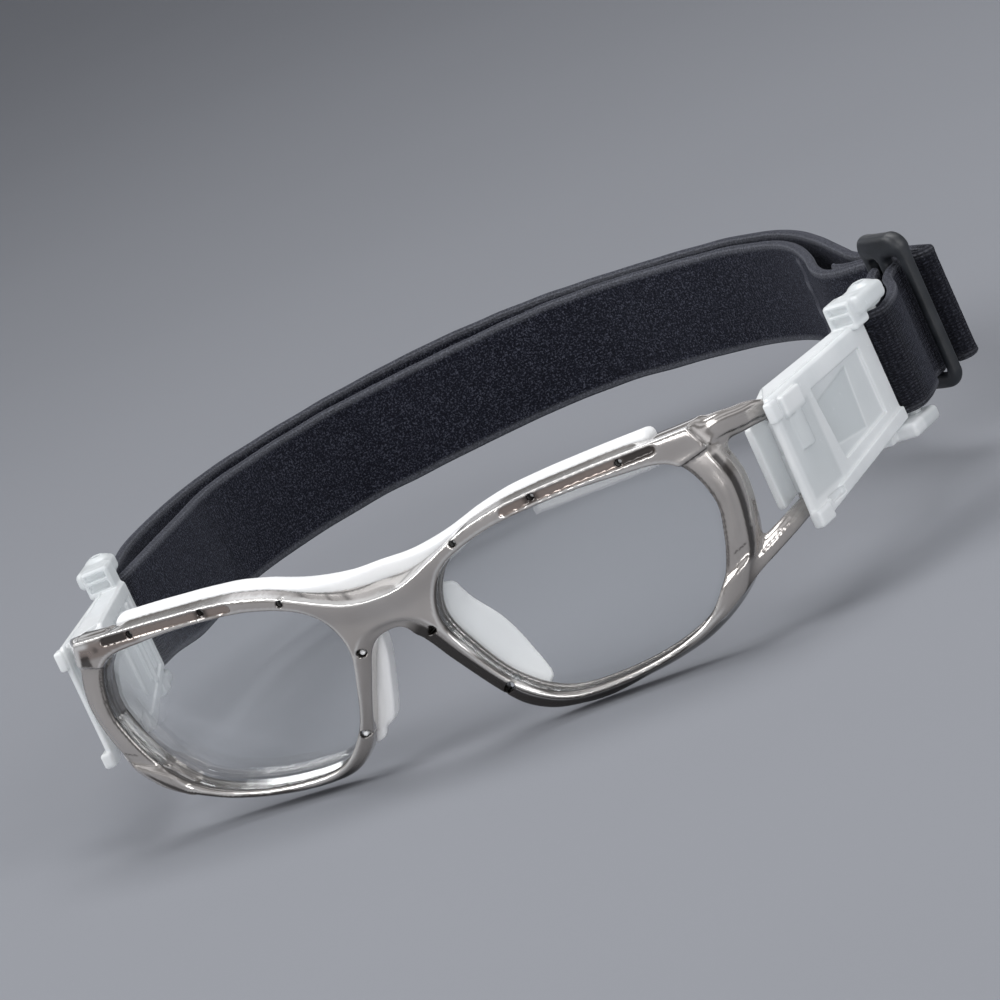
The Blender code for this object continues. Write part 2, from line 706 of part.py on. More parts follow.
# ---------------------------------------------------------------- materials
def material(name, colour, roughness, metallic=0.0, transmission=0.0):
    mat = bpy.data.materials.new(name)
    mat.use_nodes = True
    inputs = mat.node_tree.nodes["Principled BSDF"].inputs
    inputs["Base Color"].default_value = (*colour, 1)
    inputs["Roughness"].default_value = roughness
    inputs["Metallic"].default_value = metallic
    inputs["Transmission Weight"].default_value = transmission
    mat.diffuse_color = (*colour, 1)
    return mat


# ---------------------------------------------------------------- build
for old in list(bpy.data.objects):
    bpy.data.objects.remove(old)
scene = bpy.context.scene
scene.unit_settings.system = "METRIC"
scene.unit_settings.scale_length = 1.0

smoke = material("smoke_plastic", colour=(0.42, 0.38, 0.36), roughness=0.12, transmission=0.4)
clear = material("clear_lens", colour=(0.93, 0.95, 0.97), roughness=0.03, transmission=0.95)
silicone = material("white_silicone", colour=(0.86, 0.87, 0.88), roughness=0.45)
milky = material("milky_plastic", colour=(0.82, 0.84, 0.86), roughness=0.3, transmission=0.3)
steel = material("pin_steel", colour=(0.6, 0.6, 0.62), roughness=0.3, metallic=1.0)
webbing = material("navy_webbing", colour=(0.025, 0.028, 0.045), roughness=0.9)
black = material("black_plastic", colour=(0.03, 0.032, 0.036), roughness=0.4)

finish(front_frame("front_frame"), smoke)
finish(brow_pad("brow_pad"), silicone)
for label, side in (("left", 1), ("right", -1)):
    hinge, bar = hinge_at(side), bar_at(side)
    finish(lens("lens_" + label, side), clear)
    finish(nose_pad("nose_pad_" + label, side), silicone)
    finish(hinge_pin("hinge_pin_" + label, side), steel, hinge)
    finish(clip_housing("clip_housing_" + label, side), milky, hinge)
    finish(clip_cover("clip_cover_" + label, side), milky, hinge)
    finish(clip_knuckle("clip_knuckle_" + label, side), milky, hinge)
    finish(strap_bar("strap_bar_" + label, side), milky, bar)
    finish(clip_loop("strap_loop_" + label, side), webbing, bar)
finish(band("strap_inner_layer", spline(INNER_PATH, STRAP_STEPS)), webbing)
finish(band("strap_outer_layer", spline(OUTER_PATH, STRAP_STEPS)), webbing)
finish(slider_fold("strap_slider_fold"), webbing)
finish(slider("strap_slider"), black, (*SLIDER_AT, 0))
bpy.context.view_layer.update()

# Centre the whole in x and y, with its lowest point on z = 0.
corners = [o.matrix_world @ Vector(c) for o in scene.objects for c in o.bound_box]
low = Vector([min(c[i] for c in corners) for i in range(3)])
high = Vector([max(c[i] for c in corners) for i in range(3)])
shift = Vector((-(low.x + high.x) / 2, -(low.y + high.y) / 2, -low.z))
for obj in scene.objects:
    obj.location += shift
bpy.context.view_layer.update()
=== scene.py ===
# Clear wraparound goggles: a one-piece smoke front with two lenses, a brow pad and nose pads,
# a hinged clip at each temple, and an elastic strap with a three-bar slider.
# Design space is in millimetres: x to the wearer's left, y backwards from the middle of the
# front's face, z up. Distance fields are negative inside the solid.
import math

import bmesh
import bpy
import numpy as np
from mathutils import Matrix, Vector


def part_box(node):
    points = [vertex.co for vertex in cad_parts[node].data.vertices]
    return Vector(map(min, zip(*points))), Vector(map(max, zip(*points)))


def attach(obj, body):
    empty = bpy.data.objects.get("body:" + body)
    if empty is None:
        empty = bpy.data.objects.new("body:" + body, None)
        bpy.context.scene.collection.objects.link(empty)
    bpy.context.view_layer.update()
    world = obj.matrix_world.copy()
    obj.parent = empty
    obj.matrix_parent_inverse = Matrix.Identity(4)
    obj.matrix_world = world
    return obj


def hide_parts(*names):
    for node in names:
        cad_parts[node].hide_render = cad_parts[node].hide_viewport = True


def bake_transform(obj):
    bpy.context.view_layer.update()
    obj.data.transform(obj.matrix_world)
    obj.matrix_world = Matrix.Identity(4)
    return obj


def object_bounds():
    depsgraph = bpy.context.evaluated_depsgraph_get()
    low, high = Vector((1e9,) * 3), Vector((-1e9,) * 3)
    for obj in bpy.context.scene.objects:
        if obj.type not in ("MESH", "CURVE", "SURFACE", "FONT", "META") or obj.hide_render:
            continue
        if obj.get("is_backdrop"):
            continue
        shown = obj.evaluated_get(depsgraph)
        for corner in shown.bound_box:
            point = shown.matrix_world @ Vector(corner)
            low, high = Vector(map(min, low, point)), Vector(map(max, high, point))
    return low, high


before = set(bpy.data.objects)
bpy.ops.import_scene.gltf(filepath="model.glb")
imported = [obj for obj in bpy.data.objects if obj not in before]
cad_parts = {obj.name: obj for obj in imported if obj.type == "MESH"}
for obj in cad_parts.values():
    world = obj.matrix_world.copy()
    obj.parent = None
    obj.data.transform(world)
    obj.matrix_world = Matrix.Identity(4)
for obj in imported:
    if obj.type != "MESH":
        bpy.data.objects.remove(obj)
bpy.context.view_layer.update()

MM = 0.001
MAX_TRIANGLES = 190000

# ============================================================ shared dimensions
WRAP_RADIUS, LEAN = 267.0, 0.0126
# left lens opening: x, z
LENS_OUTLINE = (
    (62.4, -0.8), (61.4, -7.6), (58.2, -14.8), (52.6, -20.7), (44.0, -24.1),
    (33.0, -25.5), (23.0, -24.6), (16.2, -19.3), (11.8, -11.2), (9.5, -3.2),
    (13.6, 4.4), (23.5, 8.1), (36.0, 9.2), (48.5, 8.8), (58.6, 7.0),
)
LENS_THICK, LENS_BITE, LENS_SET = 2.0, 0.8, 1.9  # thickness, depth in groove, set back
# top edge of the front: x, z
RIDGE = (
    (0, 3.7), (3, 3.8), (6, 4.3), (10, 5.8), (15, 7.9), (18, 9.2),
    (21, 10.2), (28, 11.6), (36, 12.1), (46, 12.3), (60, 12.2), (72, 11.9),
)
BROW_HEIGHT, STUD_R = 3.9, 0.5
BROW_STUDS = ((17.8, 8.2), (34.0, 10.95), (50.5, 10.9))  # x, z
PAD_PLUGS = ((-5.0, 2.2), (-19.2, 1.25))  # height, distance out from the opening
CLIP_FRONT, CLIP_SPLAY = (74.2, 20.7), math.atan2(7.7, 37.8)
CLIP_LENGTH, CLIP_TOP = 38.0, 9.3
CLIP_BOTTOM_FRONT, CLIP_BOTTOM_REAR = -14.7, -10.8
CLIP_WIDE_FRONT, CLIP_WIDE_REAR = 7.2, 4.6
HINGE, PIN_R, LUG_R = (5.5, -3.75), 0.8, 1.95  # hinge place: along, out in the clip's axes
UPPER_LUG, LOWER_LUG = (4.6, 7.9), (-13.0, -9.6)  # bottom, top
BAR, BAR_R = (42.2, -0.4), 1.1
STRAP_THICK, STRAP_TOP, STRAP_BOTTOM = 1.7, 9.6, -12.0
SLIDER_AT, SLIDER_WAY = (79.0, 87.5), (0.79, -0.61)  # plan place and direction
SLIDER_TOP, SLIDER_BOTTOM = 16.6, -14.6
SIDES = (("left", 1), ("right", -1))


# ============================================================ small maths
def front_y(x, z):
    """The curved front face."""
    return x * x / (2 * WRAP_RADIUS) * (1 + x * x / (4 * WRAP_RADIUS**2)) + 0.5 * LEAN * z * z


def union(a, b, blend):
    h = np.clip(0.5 + 0.5 * (b - a) / blend, 0, 1)
    return b + (a - b) * h - blend * h * (1 - h)


def overlap(a, b, blend):
    return -union(-a, -b, blend)


def cut(body, tool, blend=None):
    return np.maximum(body, -tool) if blend is None else overlap(body, -tool, blend)


def fade(x, zero, one):
    """Smooth step that is 0 at x = zero and 1 at x = one."""
    t = np.clip((x - zero) / (one - zero), 0, 1)
    return t * t * (3 - 2 * t)


def stripe(value, outer, inner):
    """1 where |value| is under inner, 0 beyond outer."""
    return fade(np.abs(value), outer, inner)


def hump(x, reach):
    """1 at x = 0, easing to 0 at |x| = reach."""
    t = np.clip(1 - np.abs(x) / reach, 0, 1)
    return t * t * (3 - 2 * t)


def gaussian(count, step, spread):
    """Weights at count steps either side of the middle, summing to 1."""
    weights = np.exp(-0.5 * (np.arange(-count, count + 1) * step / spread) ** 2)
    return weights / weights.sum()


def spline(points, steps, closed=False):
    """Catmull-Rom curve at equal steps along its first two or three columns, and its length."""
    p = np.asarray(points, float)
    if closed:
        before, start, end, after = (np.roll(p, -k, 0) for k in (-1, 0, 1, 2))
    else:
        ext = np.vstack([2 * p[0] - p[1], p, 2 * p[-1] - p[-2]])
        before, start, end, after = ext[:-3], ext[1:-2], ext[2:-1], ext[3:]
    t = (np.arange(32) / 32)[None, :, None]
    a, b, c, d = (v[:, None, :] for v in (before, start, end, after))
    square = (2 * a - 5 * b + 4 * c - d) * t**2
    cubic = (3 * b - a - 3 * c + d) * t**3
    fine = (0.5 * (2 * b + (c - a) * t + square + cubic)).reshape(-1, p.shape[1])
    fine = np.vstack([fine, fine[:1] if closed else p[-1:]])
    lengths = np.linalg.norm(np.diff(fine[:, :3], axis=0), axis=1)
    s = np.concatenate([[0], np.cumsum(lengths)])
    want = np.linspace(0, s[-1], steps + 1)
    out = np.stack([np.interp(want, s, column) for column in fine.T], 1)
    return (out[:-1] if closed else out), s[-1]


# the top edge, rounded off by a moving average
RIDGE_STEP, RIDGE_SPREAD, RIDGE_COUNT = 0.25, 1.6, 16
RIDGE_X = np.arange(0, 80.01, RIDGE_STEP)
RIDGE_Z = np.interp(RIDGE_X, *np.array(RIDGE, float).T)
RIDGE_Z = np.convolve(
    np.concatenate([RIDGE_Z[RIDGE_COUNT:0:-1], RIDGE_Z, np.full(RIDGE_COUNT, RIDGE_Z[-1])]),
    gaussian(RIDGE_COUNT, RIDGE_STEP, RIDGE_SPREAD), "valid")


def ridge(x):
    return np.interp(np.abs(x), RIDGE_X, RIDGE_Z)


def poly_sd(x, z, poly):
    """Signed distance to a closed flat outline. x and z broadcast."""
    poly = np.asarray(poly, float)
    x, z = np.broadcast_arrays(np.asarray(x, float), np.asarray(z, float))
    best = np.full(x.shape, 1e9)
    inside = np.zeros(x.shape, bool)
    for (ax, az), (bx, bz) in zip(poly, np.roll(poly, -1, 0)):
        ex, ez = bx - ax, bz - az
        px, pz = x - ax, z - az
        t = np.clip((px * ex + pz * ez) / max(ex * ex + ez * ez, 1e-12), 0, 1)
        best = np.minimum(best, (px - ex * t) ** 2 + (pz - ez * t) ** 2)
        if az != bz:
            inside ^= ((az > z) != (bz > z)) & (px < ex * pz / ez)
    dist = np.sqrt(best)
    return np.where(inside, -dist, dist)


def circle_sd(x, z, centre, radius):
    return np.sqrt((x - centre[0]) ** 2 + (z - centre[1]) ** 2) - radius


# ============================================================ places
SPLAY_COS, SPLAY_SIN = math.cos(CLIP_SPLAY), math.sin(CLIP_SPLAY)


def clip_xy(along, out):
    """Plan point of the left clip, from its own axes: along it, and outwards."""
    return (CLIP_FRONT[0] + along * SPLAY_SIN + out * SPLAY_COS,
            CLIP_FRONT[1] + along * SPLAY_COS - out * SPLAY_SIN)


HX, HY = clip_xy(*HINGE)
BAR_XY = clip_xy(*BAR)
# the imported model's own origin, found from the left hinge pin
_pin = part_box("hinge_pin_left")
_pin_centre = np.array([(_pin[0][i] + _pin[1][i]) / 2 / MM for i in range(3)])
ORIGIN = _pin_centre - np.array([HX, HY, (LOWER_LUG[0] + UPPER_LUG[1]) / 2])


def at(points):
    """Design millimetres to scene metres."""
    return (np.asarray(points, float) + ORIGIN) * MM


# ============================================================ distance fields to meshes
def surface_nets(field, low, cell):
    """Points and quads on the zero level of a sampled distance field."""
    solid = field < 0
    nx, ny, nz = field.shape
    count = np.zeros((nx - 1, ny - 1, nz - 1), np.int8)
    corners = list(np.ndindex(2, 2, 2))
    for i, j, k in corners:
        count += solid[i:nx - 1 + i, j:ny - 1 + j, k:nz - 1 + k]
    active = (count > 0) & (count < 8)
    cells = np.argwhere(active)
    index = np.full(active.shape, -1, np.int32)
    index[active] = np.arange(len(cells))
    value = {c: field[tuple((cells + c).T)] for c in corners}
    points, hits = np.zeros((len(cells), 3)), np.zeros(len(cells))
    unit = np.eye(3)
    for a in corners:
        for d in range(3):
            if a[d]:
                continue
            b = tuple(v + (m == d) for m, v in enumerate(a))
            crossed = (value[a] < 0) != (value[b] < 0)
            va, vb = value[a][crossed], value[b][crossed]
            t = va / (va - vb)
            points[crossed] += np.array(a, float) + t[:, None] * unit[d]
            hits[crossed] += 1
    points = (cells + points / hits[:, None]) * cell + low
    quads = []
    for d in range(3):
        u, v = (d + 1) % 3, (d + 2) % 3
        first, second = [slice(1, None)] * 3, [slice(1, None)] * 3
        first[d] = slice(0, -1)
        a, b = solid[tuple(first)], solid[tuple(second)]
        off = np.ones(3, int)
        off[d] = 0
        eu, ev = np.zeros(3, int), np.zeros(3, int)
        eu[u], ev[v] = 1, 1
        for leaving in (False, True):
            p = np.argwhere((a & ~b) if leaving else (~a & b)) + off
            # stay within the far edge of the cell grid
            p = p[(p[:, u] < index.shape[u]) & (p[:, v] < index.shape[v])]
            q = [index[tuple((p - w).T)] for w in (eu + ev, ev, eu * 0, eu)]
            quads.append(np.stack(q if leaving else q[::-1], 1))
    return points, np.vstack(quads)


def relax(points, quads, rounds):
    """Taubin smoothing, which evens the net without shrinking it."""
    e = np.vstack([quads[:, [k, (k + 1) % 4]] for k in range(4)])
    e = np.unique(np.sort(e, 1), axis=0)
    i, j = np.concatenate([e[:, 0], e[:, 1]]), np.concatenate([e[:, 1], e[:, 0]])
    size = len(points)
    n = np.bincount(i, minlength=size).astype(float)
    for _ in range(rounds):
        for pull in (0.5, -0.53):
            mean = np.stack([np.bincount(i, points[j, c], size) for c in range(3)], 1)
            points = points + pull * (mean / n[:, None] - points)
    return points


def keep_largest(points, quads):
    """Drops loose crumbs, so each piece is one body."""
    e = np.vstack([quads[:, [0, 1]], quads[:, [1, 2]], quads[:, [2, 3]]])
    label = np.arange(len(points))
    while True:
        low = np.minimum(label[e[:, 0]], label[e[:, 1]])
        new = label.copy()
        np.minimum.at(new, e[:, 0], low)
        np.minimum.at(new, e[:, 1], low)
        new = new[new]
        if (new == label).all():
            break
        label = new
    keep = label == np.bincount(label).argmax()
    index = np.cumsum(keep) - 1
    return points[keep], index[quads[keep[quads[:, 0]]]]


def sample(fn, x, y, z):
    field = fn(x[:, None, None], y[None, :, None], z[None, None, :])
    return np.broadcast_to(field, (len(x), len(y), len(z))).astype(np.float32)


def field_mesh(low, high, cell, fn, rounds):
    """Net of a field over a box, closed where it would run out of the box."""
    low, high = np.array(low, float), np.array(high, float)
    n = np.ceil((high - low) / cell).astype(int) + 1
    field = sample(fn, *(low[i] + cell * np.arange(n[i]) for i in range(3)))
    for axis in range(3):
        wall = [slice(None)] * 3
        for end in (0, -1):
            wall[axis] = end
            field[tuple(wall)] = np.maximum(field[tuple(wall)], 0.01)
    points, quads = surface_nets(field, low, cell)
    return relax(points, quads, rounds), quads


def mirrored_mesh(reach, low, high, cell, fn, rounds):
    """Net of a field known for x >= 0 together with its mirror image; low and high are y, z."""
    x = cell * np.arange(int(np.ceil(reach / cell)) + 1)
    y = np.arange(low[0], high[0] + cell, cell)
    z = np.arange(low[1], high[1] + cell, cell)
    field = sample(fn, x, y, z)
    field = np.concatenate([field[:0:-1], field], 0)
    points, quads = surface_nets(field, np.array([-x[-1], y[0], z[0]]), cell)
    points, quads = keep_largest(points, quads)
    return relax(points, quads, rounds), quads


# ============================================================ objects
def add_attributes(me, attrs):
    for key, values in attrs.items():
        layer = me.attributes.new(key, "FLOAT", "POINT")
        layer.data.foreach_set("value", np.asarray(values, np.float32))


def link_mesh(name, me, material):
    me.materials.append(material)
    obj = bpy.data.objects.new(name, me)
    bpy.context.scene.collection.objects.link(obj)
    return obj


def quad_object(name, points, faces, material, attrs=None, uv=None):
    """Smooth object from design points and an array of quads."""
    me = bpy.data.meshes.new(name)
    me.vertices.add(len(points))
    me.vertices.foreach_set("co", at(points).astype(np.float32).ravel())
    me.loops.add(faces.size)
    me.loops.foreach_set("vertex_index", faces.astype(np.int32).ravel())
    me.polygons.add(len(faces))
    me.polygons.foreach_set("loop_start", np.arange(0, faces.size, 4, dtype=np.int32))
    me.polygons.foreach_set("use_smooth", np.full(len(faces), True))
    me.update(calc_edges=True)
    add_attributes(me, attrs or {})
    if uv is not None:
        layer = me.uv_layers.new(name="UVMap")
        layer.data.foreach_set("uv", np.asarray(uv, np.float32)[faces.ravel()].ravel())
    me.validate()
    return link_mesh(name, me, material)


def poly_object(name, points, faces, material):
    """Smooth object from design points and a list of mixed faces."""
    me = bpy.data.meshes.new(name)
    me.from_pydata(at(points).tolist(), [], faces)
    me.polygons.foreach_set("use_smooth", np.ones(len(me.polygons), bool))
    return link_mesh(name, me, material)


def face_outwards(me):
    bm = bmesh.new()
    bm.from_mesh(me)
    bmesh.ops.recalc_face_normals(bm, faces=bm.faces)
    bm.to_mesh(me)
    bm.free()


def register(obj, body, slot, *stands):
    if body:
        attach(obj, body)
    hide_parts(*stands)


def thin_out(obj, quad_count):
    """Decimates a netted piece down to the triangle limit."""
    triangles = 2 * quad_count
    if triangles <= MAX_TRIANGLES:
        return
    mod = obj.modifiers.new("thin", "DECIMATE")
    mod.ratio = MAX_TRIANGLES / triangles
    bpy.context.view_layer.update()
    graph = bpy.context.evaluated_depsgraph_get()
    me = bpy.data.meshes.new_from_object(obj.evaluated_get(graph))
    obj.modifiers.clear()
    old, obj.data = obj.data, me
    bpy.data.meshes.remove(old)
    me.polygons.foreach_set("use_smooth", np.ones(len(me.polygons), bool))


# ============================================================ shader nodes
class Shader:
    """Builds the nodes of one material or world."""

    def __init__(self, owner, output="ShaderNodeOutputMaterial"):
        owner.use_nodes = True
        self.owner, self.tree = owner, owner.node_tree
        self.tree.nodes.clear()
        self.output = self.tree.nodes.new(output)

    def node(self, kind, inputs=None, **props):
        n = self.tree.nodes.new(kind)
        for key, value in props.items():
            setattr(n, key, value)
        for key, value in (inputs or {}).items():
            if isinstance(value, bpy.types.NodeSocket):
                self.tree.links.new(value, n.inputs[key])
            else:
                n.inputs[key].default_value = value
        return n

    def coords(self, kind):
        return self.node("ShaderNodeTexCoord").outputs[kind]

    def attr(self, name):
        return self.node("ShaderNodeAttribute", attribute_name=name).outputs["Fac"]

    def noise(self, scale, detail=3, rough=0.5, vector=None):
        vector = vector or self.coords("Object")
        return self.node("ShaderNodeTexNoise", {
            "Scale": scale, "Detail": detail, "Roughness": rough, "Vector": vector,
        }).outputs["Fac"]

    def ramp(self, fac, *stops):
        """Colour ramp; each stop is a position and an RGB colour."""
        n = self.node("ShaderNodeValToRGB", {"Fac": fac})
        elements = n.color_ramp.elements
        while len(elements) < len(stops):
            elements.new(0.5)
        for element, (position, colour) in zip(elements, stops):
            element.position, element.color = position, (*colour, 1)
        return n.outputs["Color"]

    def math(self, operation, *values):
        n = self.node("ShaderNodeMath", dict(enumerate(values)), operation=operation)
        return n.outputs[0]

    def linear(self, value, gain, base):
        """gain * value + base"""
        return self.math("MULTIPLY_ADD", value, gain, base)

    def mix(self, fac, a, b):
        """Colour a turning to b; plain colours are RGB."""
        a, b = ((*c, 1) if isinstance(c, tuple) else c for c in (a, b))
        # 0 is the factor; 6, 7 and output 2 are the colour sockets
        return self.node("ShaderNodeMix", {0: fac, 6: a, 7: b}, data_type="RGBA").outputs[2]

    def bump(self, height, strength, distance):
        return self.node("ShaderNodeBump", {
            "Height": height, "Strength": strength, "Distance": distance,
        }).outputs["Normal"]

    def shader(self, kind, inputs):
        return self.node("ShaderNode" + kind, inputs).outputs[0]

    def mix_shader(self, fac, a, b):
        return self.shader("MixShader", {0: fac, 1: a, 2: b})

    def finish(self, surface):
        self.tree.links.new(surface, self.output.inputs["Surface"])
        return self.owner


def new_material(name):
    return Shader(bpy.data.materials.new(name))


def smoke_material():
    """Polished smoke polycarbonate with a brown tint, painted shade, painted dark reflections and
    painted highlights, all set by vertex attributes.
    """
    m = new_material("smoke_polycarbonate")
    cloud = m.noise(scale=55, detail=2)
    fine = m.noise(scale=900, detail=2)
    base = m.ramp(cloud, (0.3, (0.370, 0.342, 0.322)), (0.7, (0.470, 0.442, 0.420)))
    # brown tint, with painted brown refraction on the right temple's top
    base = m.mix(m.attr("tint_and_refraction"), base, (0.225, 0.168, 0.138))
    # painted shade and dark reflections, then painted highlights, then painted shade in the holes
    shade = m.attr("shade")
    base = m.mix(shade, base, (0.022, 0.019, 0.018))
    base = m.mix(m.attr("light"), base, (0.80, 0.79, 0.77))
    base = m.mix(m.attr("pit_shade"), base, (0.018, 0.012, 0.010))
    return m.finish(m.shader("BsdfPrincipled", {
        "Base Color": base,
        "Roughness": m.linear(fine, gain=0.06, base=0.10),
        "IOR": 1.58,
        "Transmission Weight": 0.12,
        # where shade is painted, coat, specular and metal are turned down so the painted shade
        # stays dark
        "Coat Weight": m.linear(shade, gain=-0.88, base=1.0),
        "Coat Roughness": 0.03,
        "Specular IOR Level": m.linear(shade, gain=-0.6, base=0.8),
        "Metallic": m.linear(shade, gain=-0.35, base=0.55),
        "Normal": m.bump(m.noise(scale=160, detail=2), strength=0.08, distance=0.0004),
    }))


def lens_material():
    """Clear lens: straight-through light with a thin reflection, and painted shade on the edge
    that sits in the groove.
    """
    m = new_material("clear_polycarbonate")
    smudge = m.noise(scale=40)
    rough = m.ramp(smudge, (0.35, (0.0, 0.0, 0.0)), (0.75, (0.05, 0.05, 0.05)))
    # painted shade: the bevelled edge lets less light through
    see = m.mix(m.attr("edge"), (0.975, 0.982, 0.985), (0.62, 0.64, 0.66))
    clear = m.shader("BsdfTransparent", {"Color": see})
    gloss = m.shader("BsdfGlossy", {"Color": (1, 1, 1, 1), "Roughness": rough})
    normal = m.bump(smudge, strength=0.02, distance=0.0005)
    fresnel = m.shader("Fresnel", {"IOR": 1.45, "Normal": normal})
    return m.finish(m.mix_shader(m.math("MULTIPLY", fresnel, 0.5), clear, gloss))


def silicone_material(name, low, high):
    m = new_material(name)
    base = m.ramp(m.noise(scale=70), (0.3, low), (0.7, high))
    return m.finish(m.shader("BsdfPrincipled", {
        "Base Color": base,
        "Roughness": m.linear(m.noise(scale=400, detail=2), gain=0.15, base=0.34),
        "Subsurface Weight": 0.35,
        "Subsurface Radius": (0.004, 0.004, 0.004),
        "Subsurface Scale": 0.5,
        "Sheen Weight": 0.15,
        "Normal": m.bump(m.noise(scale=1500, detail=2), strength=0.15, distance=0.0001),
    }))


def milky_material():
    """Frosted clear plastic: scattered light, some straight through where it is thin."""
    m = new_material("milky_plastic")
    cloud = m.noise(scale=120)
    base = m.ramp(cloud, (0.3, (0.84, 0.86, 0.87)), (0.7, (0.93, 0.94, 0.945)))
    thin = m.attr("thin")
    base = m.mix(thin, base, (0.72, 0.75, 0.76))
    rough = m.linear(m.noise(scale=700, detail=2), gain=0.16, base=0.16)
    grain = m.math("ADD", m.noise(scale=900, detail=2), m.math("MULTIPLY", cloud, 1.5))
    normal = m.bump(grain, strength=0.16, distance=0.0002)
    body = m.shader("BsdfPrincipled", {
        "Base Color": base,
        "Roughness": rough,
        "IOR": 1.45,
        "Coat Weight": 0.5,
        "Coat Roughness": 0.08,
        "Specular IOR Level": 0.6,
        "Normal": normal,
    })
    glow = m.shader("BsdfTranslucent", {"Color": (0.95, 0.97, 0.98, 1), "Normal": normal})
    clear = m.shader("BsdfTransparent", {"Color": (0.95, 0.965, 0.97, 1)})
    scattered = m.mix_shader(0.35, body, glow)
    facing = m.node("ShaderNodeLayerWeight", {"Blend": 0.3}).outputs["Facing"]
    see = m.math("MULTIPLY", m.linear(thin, gain=0.30, base=0.08),
                 m.math("SUBTRACT", 1.0, facing))
    return m.finish(m.mix_shader(see, scattered, clear))


def webbing_material():
    """Navy elastic: fine heather, light woven edges, ribs where the band bends with painted shade
    in the gaps between them.
    """
    m = new_material("navy_webbing")
    uv = m.coords("UV")
    place = m.coords("Object")
    speck = m.noise(scale=2600, detail=2, rough=0.7, vector=place)
    dark_patch = m.noise(scale=330, detail=3, rough=0.6, vector=place)
    base = m.ramp(speck, (0.40, (0.003, 0.0035, 0.007)), (0.53, (0.010, 0.011, 0.019)),
                  (0.64, (0.075, 0.079, 0.105)))
    base = m.mix(m.math("MULTIPLY", dark_patch, 0.55), base, (0.005, 0.006, 0.012))
    edge = m.math("MULTIPLY", m.attr("edge"), m.linear(speck, gain=0.9, base=0.12))
    base = m.mix(edge, base, (0.15, 0.155, 0.175))
    base = m.mix(m.attr("stitch"), base, (0.085, 0.088, 0.105))

    def wave(direction, scale, distortion, detail_scale):
        return m.node("ShaderNodeTexWave", {
            "Vector": uv, "Scale": scale, "Distortion": distortion, "Detail": 2.0,
            "Detail Scale": detail_scale,
        }, wave_type="BANDS", bands_direction=direction).outputs["Fac"]

    turned = wave("X", scale=0.36, distortion=1.2, detail_scale=2.0)
    rows = wave("Y", scale=0.50, distortion=1.4, detail_scale=2.5)
    weave = m.math("MULTIPLY", rows, m.linear(turned, gain=0.6, base=0.4))
    rib = m.attr("rib")
    ribs = m.math("MULTIPLY", weave, m.linear(rib, gain=1.2, base=0.15))
    # painted shade in the low gaps between the ribs
    gap_shade = m.math("MULTIPLY", m.math("SUBTRACT", 1.0, weave), m.math("MULTIPLY", rib, 0.75))
    base = m.mix(gap_shade, base, (0.002, 0.002, 0.004))
    height = m.math("ADD", m.math("MULTIPLY", speck, 0.9), ribs)
    height = m.math("ADD", height, m.math("MULTIPLY", dark_patch, 0.4))
    return m.finish(m.shader("BsdfPrincipled", {
        "Base Color": base,
        "Roughness": 0.93,
        "Specular IOR Level": 0.15,
        "Sheen Weight": 0.10,
        "Sheen Roughness": 0.45,
        "Sheen Tint": (0.55, 0.58, 0.70, 1),
        "Normal": m.bump(height, strength=0.9, distance=0.0005),
    }))


def slider_material():
    m = new_material("black_slider")
    base = m.ramp(m.noise(scale=250), (0.3, (0.010, 0.012, 0.015)), (0.7, (0.022, 0.025, 0.030)))
    return m.finish(m.shader("BsdfPrincipled", {
        "Base Color": base,
        "Roughness": m.linear(m.noise(scale=900, detail=2), gain=0.2, base=0.36),
        "Specular IOR Level": 0.5,
        "Normal": m.bump(m.noise(scale=2600, detail=2), strength=0.25, distance=0.0001),
    }))


def steel_material():
    """Steel with a grain drawn out along z."""
    m = new_material("pin_steel")
    drawn = m.node("ShaderNodeMapping", {"Vector": m.coords("Object"), "Scale": (1, 1, 0.04)})
    grain = m.noise(scale=3000, detail=2, rough=0.6, vector=drawn.outputs[0])
    return m.finish(m.shader("BsdfPrincipled", {
        "Base Color": m.ramp(grain, (0.3, (0.5, 0.5, 0.52)), (0.7, (0.68, 0.68, 0.7))),
        "Metallic": 1.0,
        "Roughness": m.linear(grain, gain=0.2, base=0.22),
        "Normal": m.bump(grain, strength=0.2, distance=0.00005),
    }))


SMOKE, LENS = smoke_material(), lens_material()
# one white silicone in two copies: the brow pad's painted darker against the top light, and the
# nose pads' painted lighter as painted light for their shade behind the lenses
SILICONE = silicone_material("white_silicone", (0.74, 0.75, 0.76), (0.82, 0.825, 0.83))
NOSE_SILICONE_PAINTED_LIGHT = silicone_material("nose_silicone_painted_light", (0.90, 0.905, 0.91), (0.95, 0.95, 0.95))
MILKY, WEBBING = milky_material(), webbing_material()
BLACK, STEEL = slider_material(), steel_material()

# ============================================================ front: outlines and arms
OPENING, _ = spline(LENS_OUTLINE, 200, closed=True)
# underside and outer edge of the left half, from the nose arch: x, z
OUTER_HALF = (
    (-2.9, -3.35), (0, -2.95), (2.9, -3.35), (5.0, -4.6), (6.6, -6.7), (8.5, -10.3),
    (10.5, -13.9), (13.3, -19.0), (15.6, -22.6), (18.4, -25.1), (21.3, -26.8), (24.7, -27.8),
    (28.4, -28.15), (32.5, -28.15), (36.2, -27.9), (42.2, -27.1), (48.7, -25.6), (53.4, -23.7),
    (57.3, -21.5), (60.6, -18.9), (63.0, -16.2), (64.7, -13.3), (65.9, -10.0), (66.7, -6.7),
    (67.3, -3.1), (67.4, 0.3), (66.8, 3.4), (65.7, 6.5), (64.5, 9.5), (63.5, 12.4), (62.7, 16.0),
)
_half, _ = spline(OUTER_HALF, 260)
_half = _half[_half[:, 0] > 0]
OUTER = np.vstack([_half, [[30, 20], [0, 20], [-30, 20]], _half[::-1] * [-1, 1]])

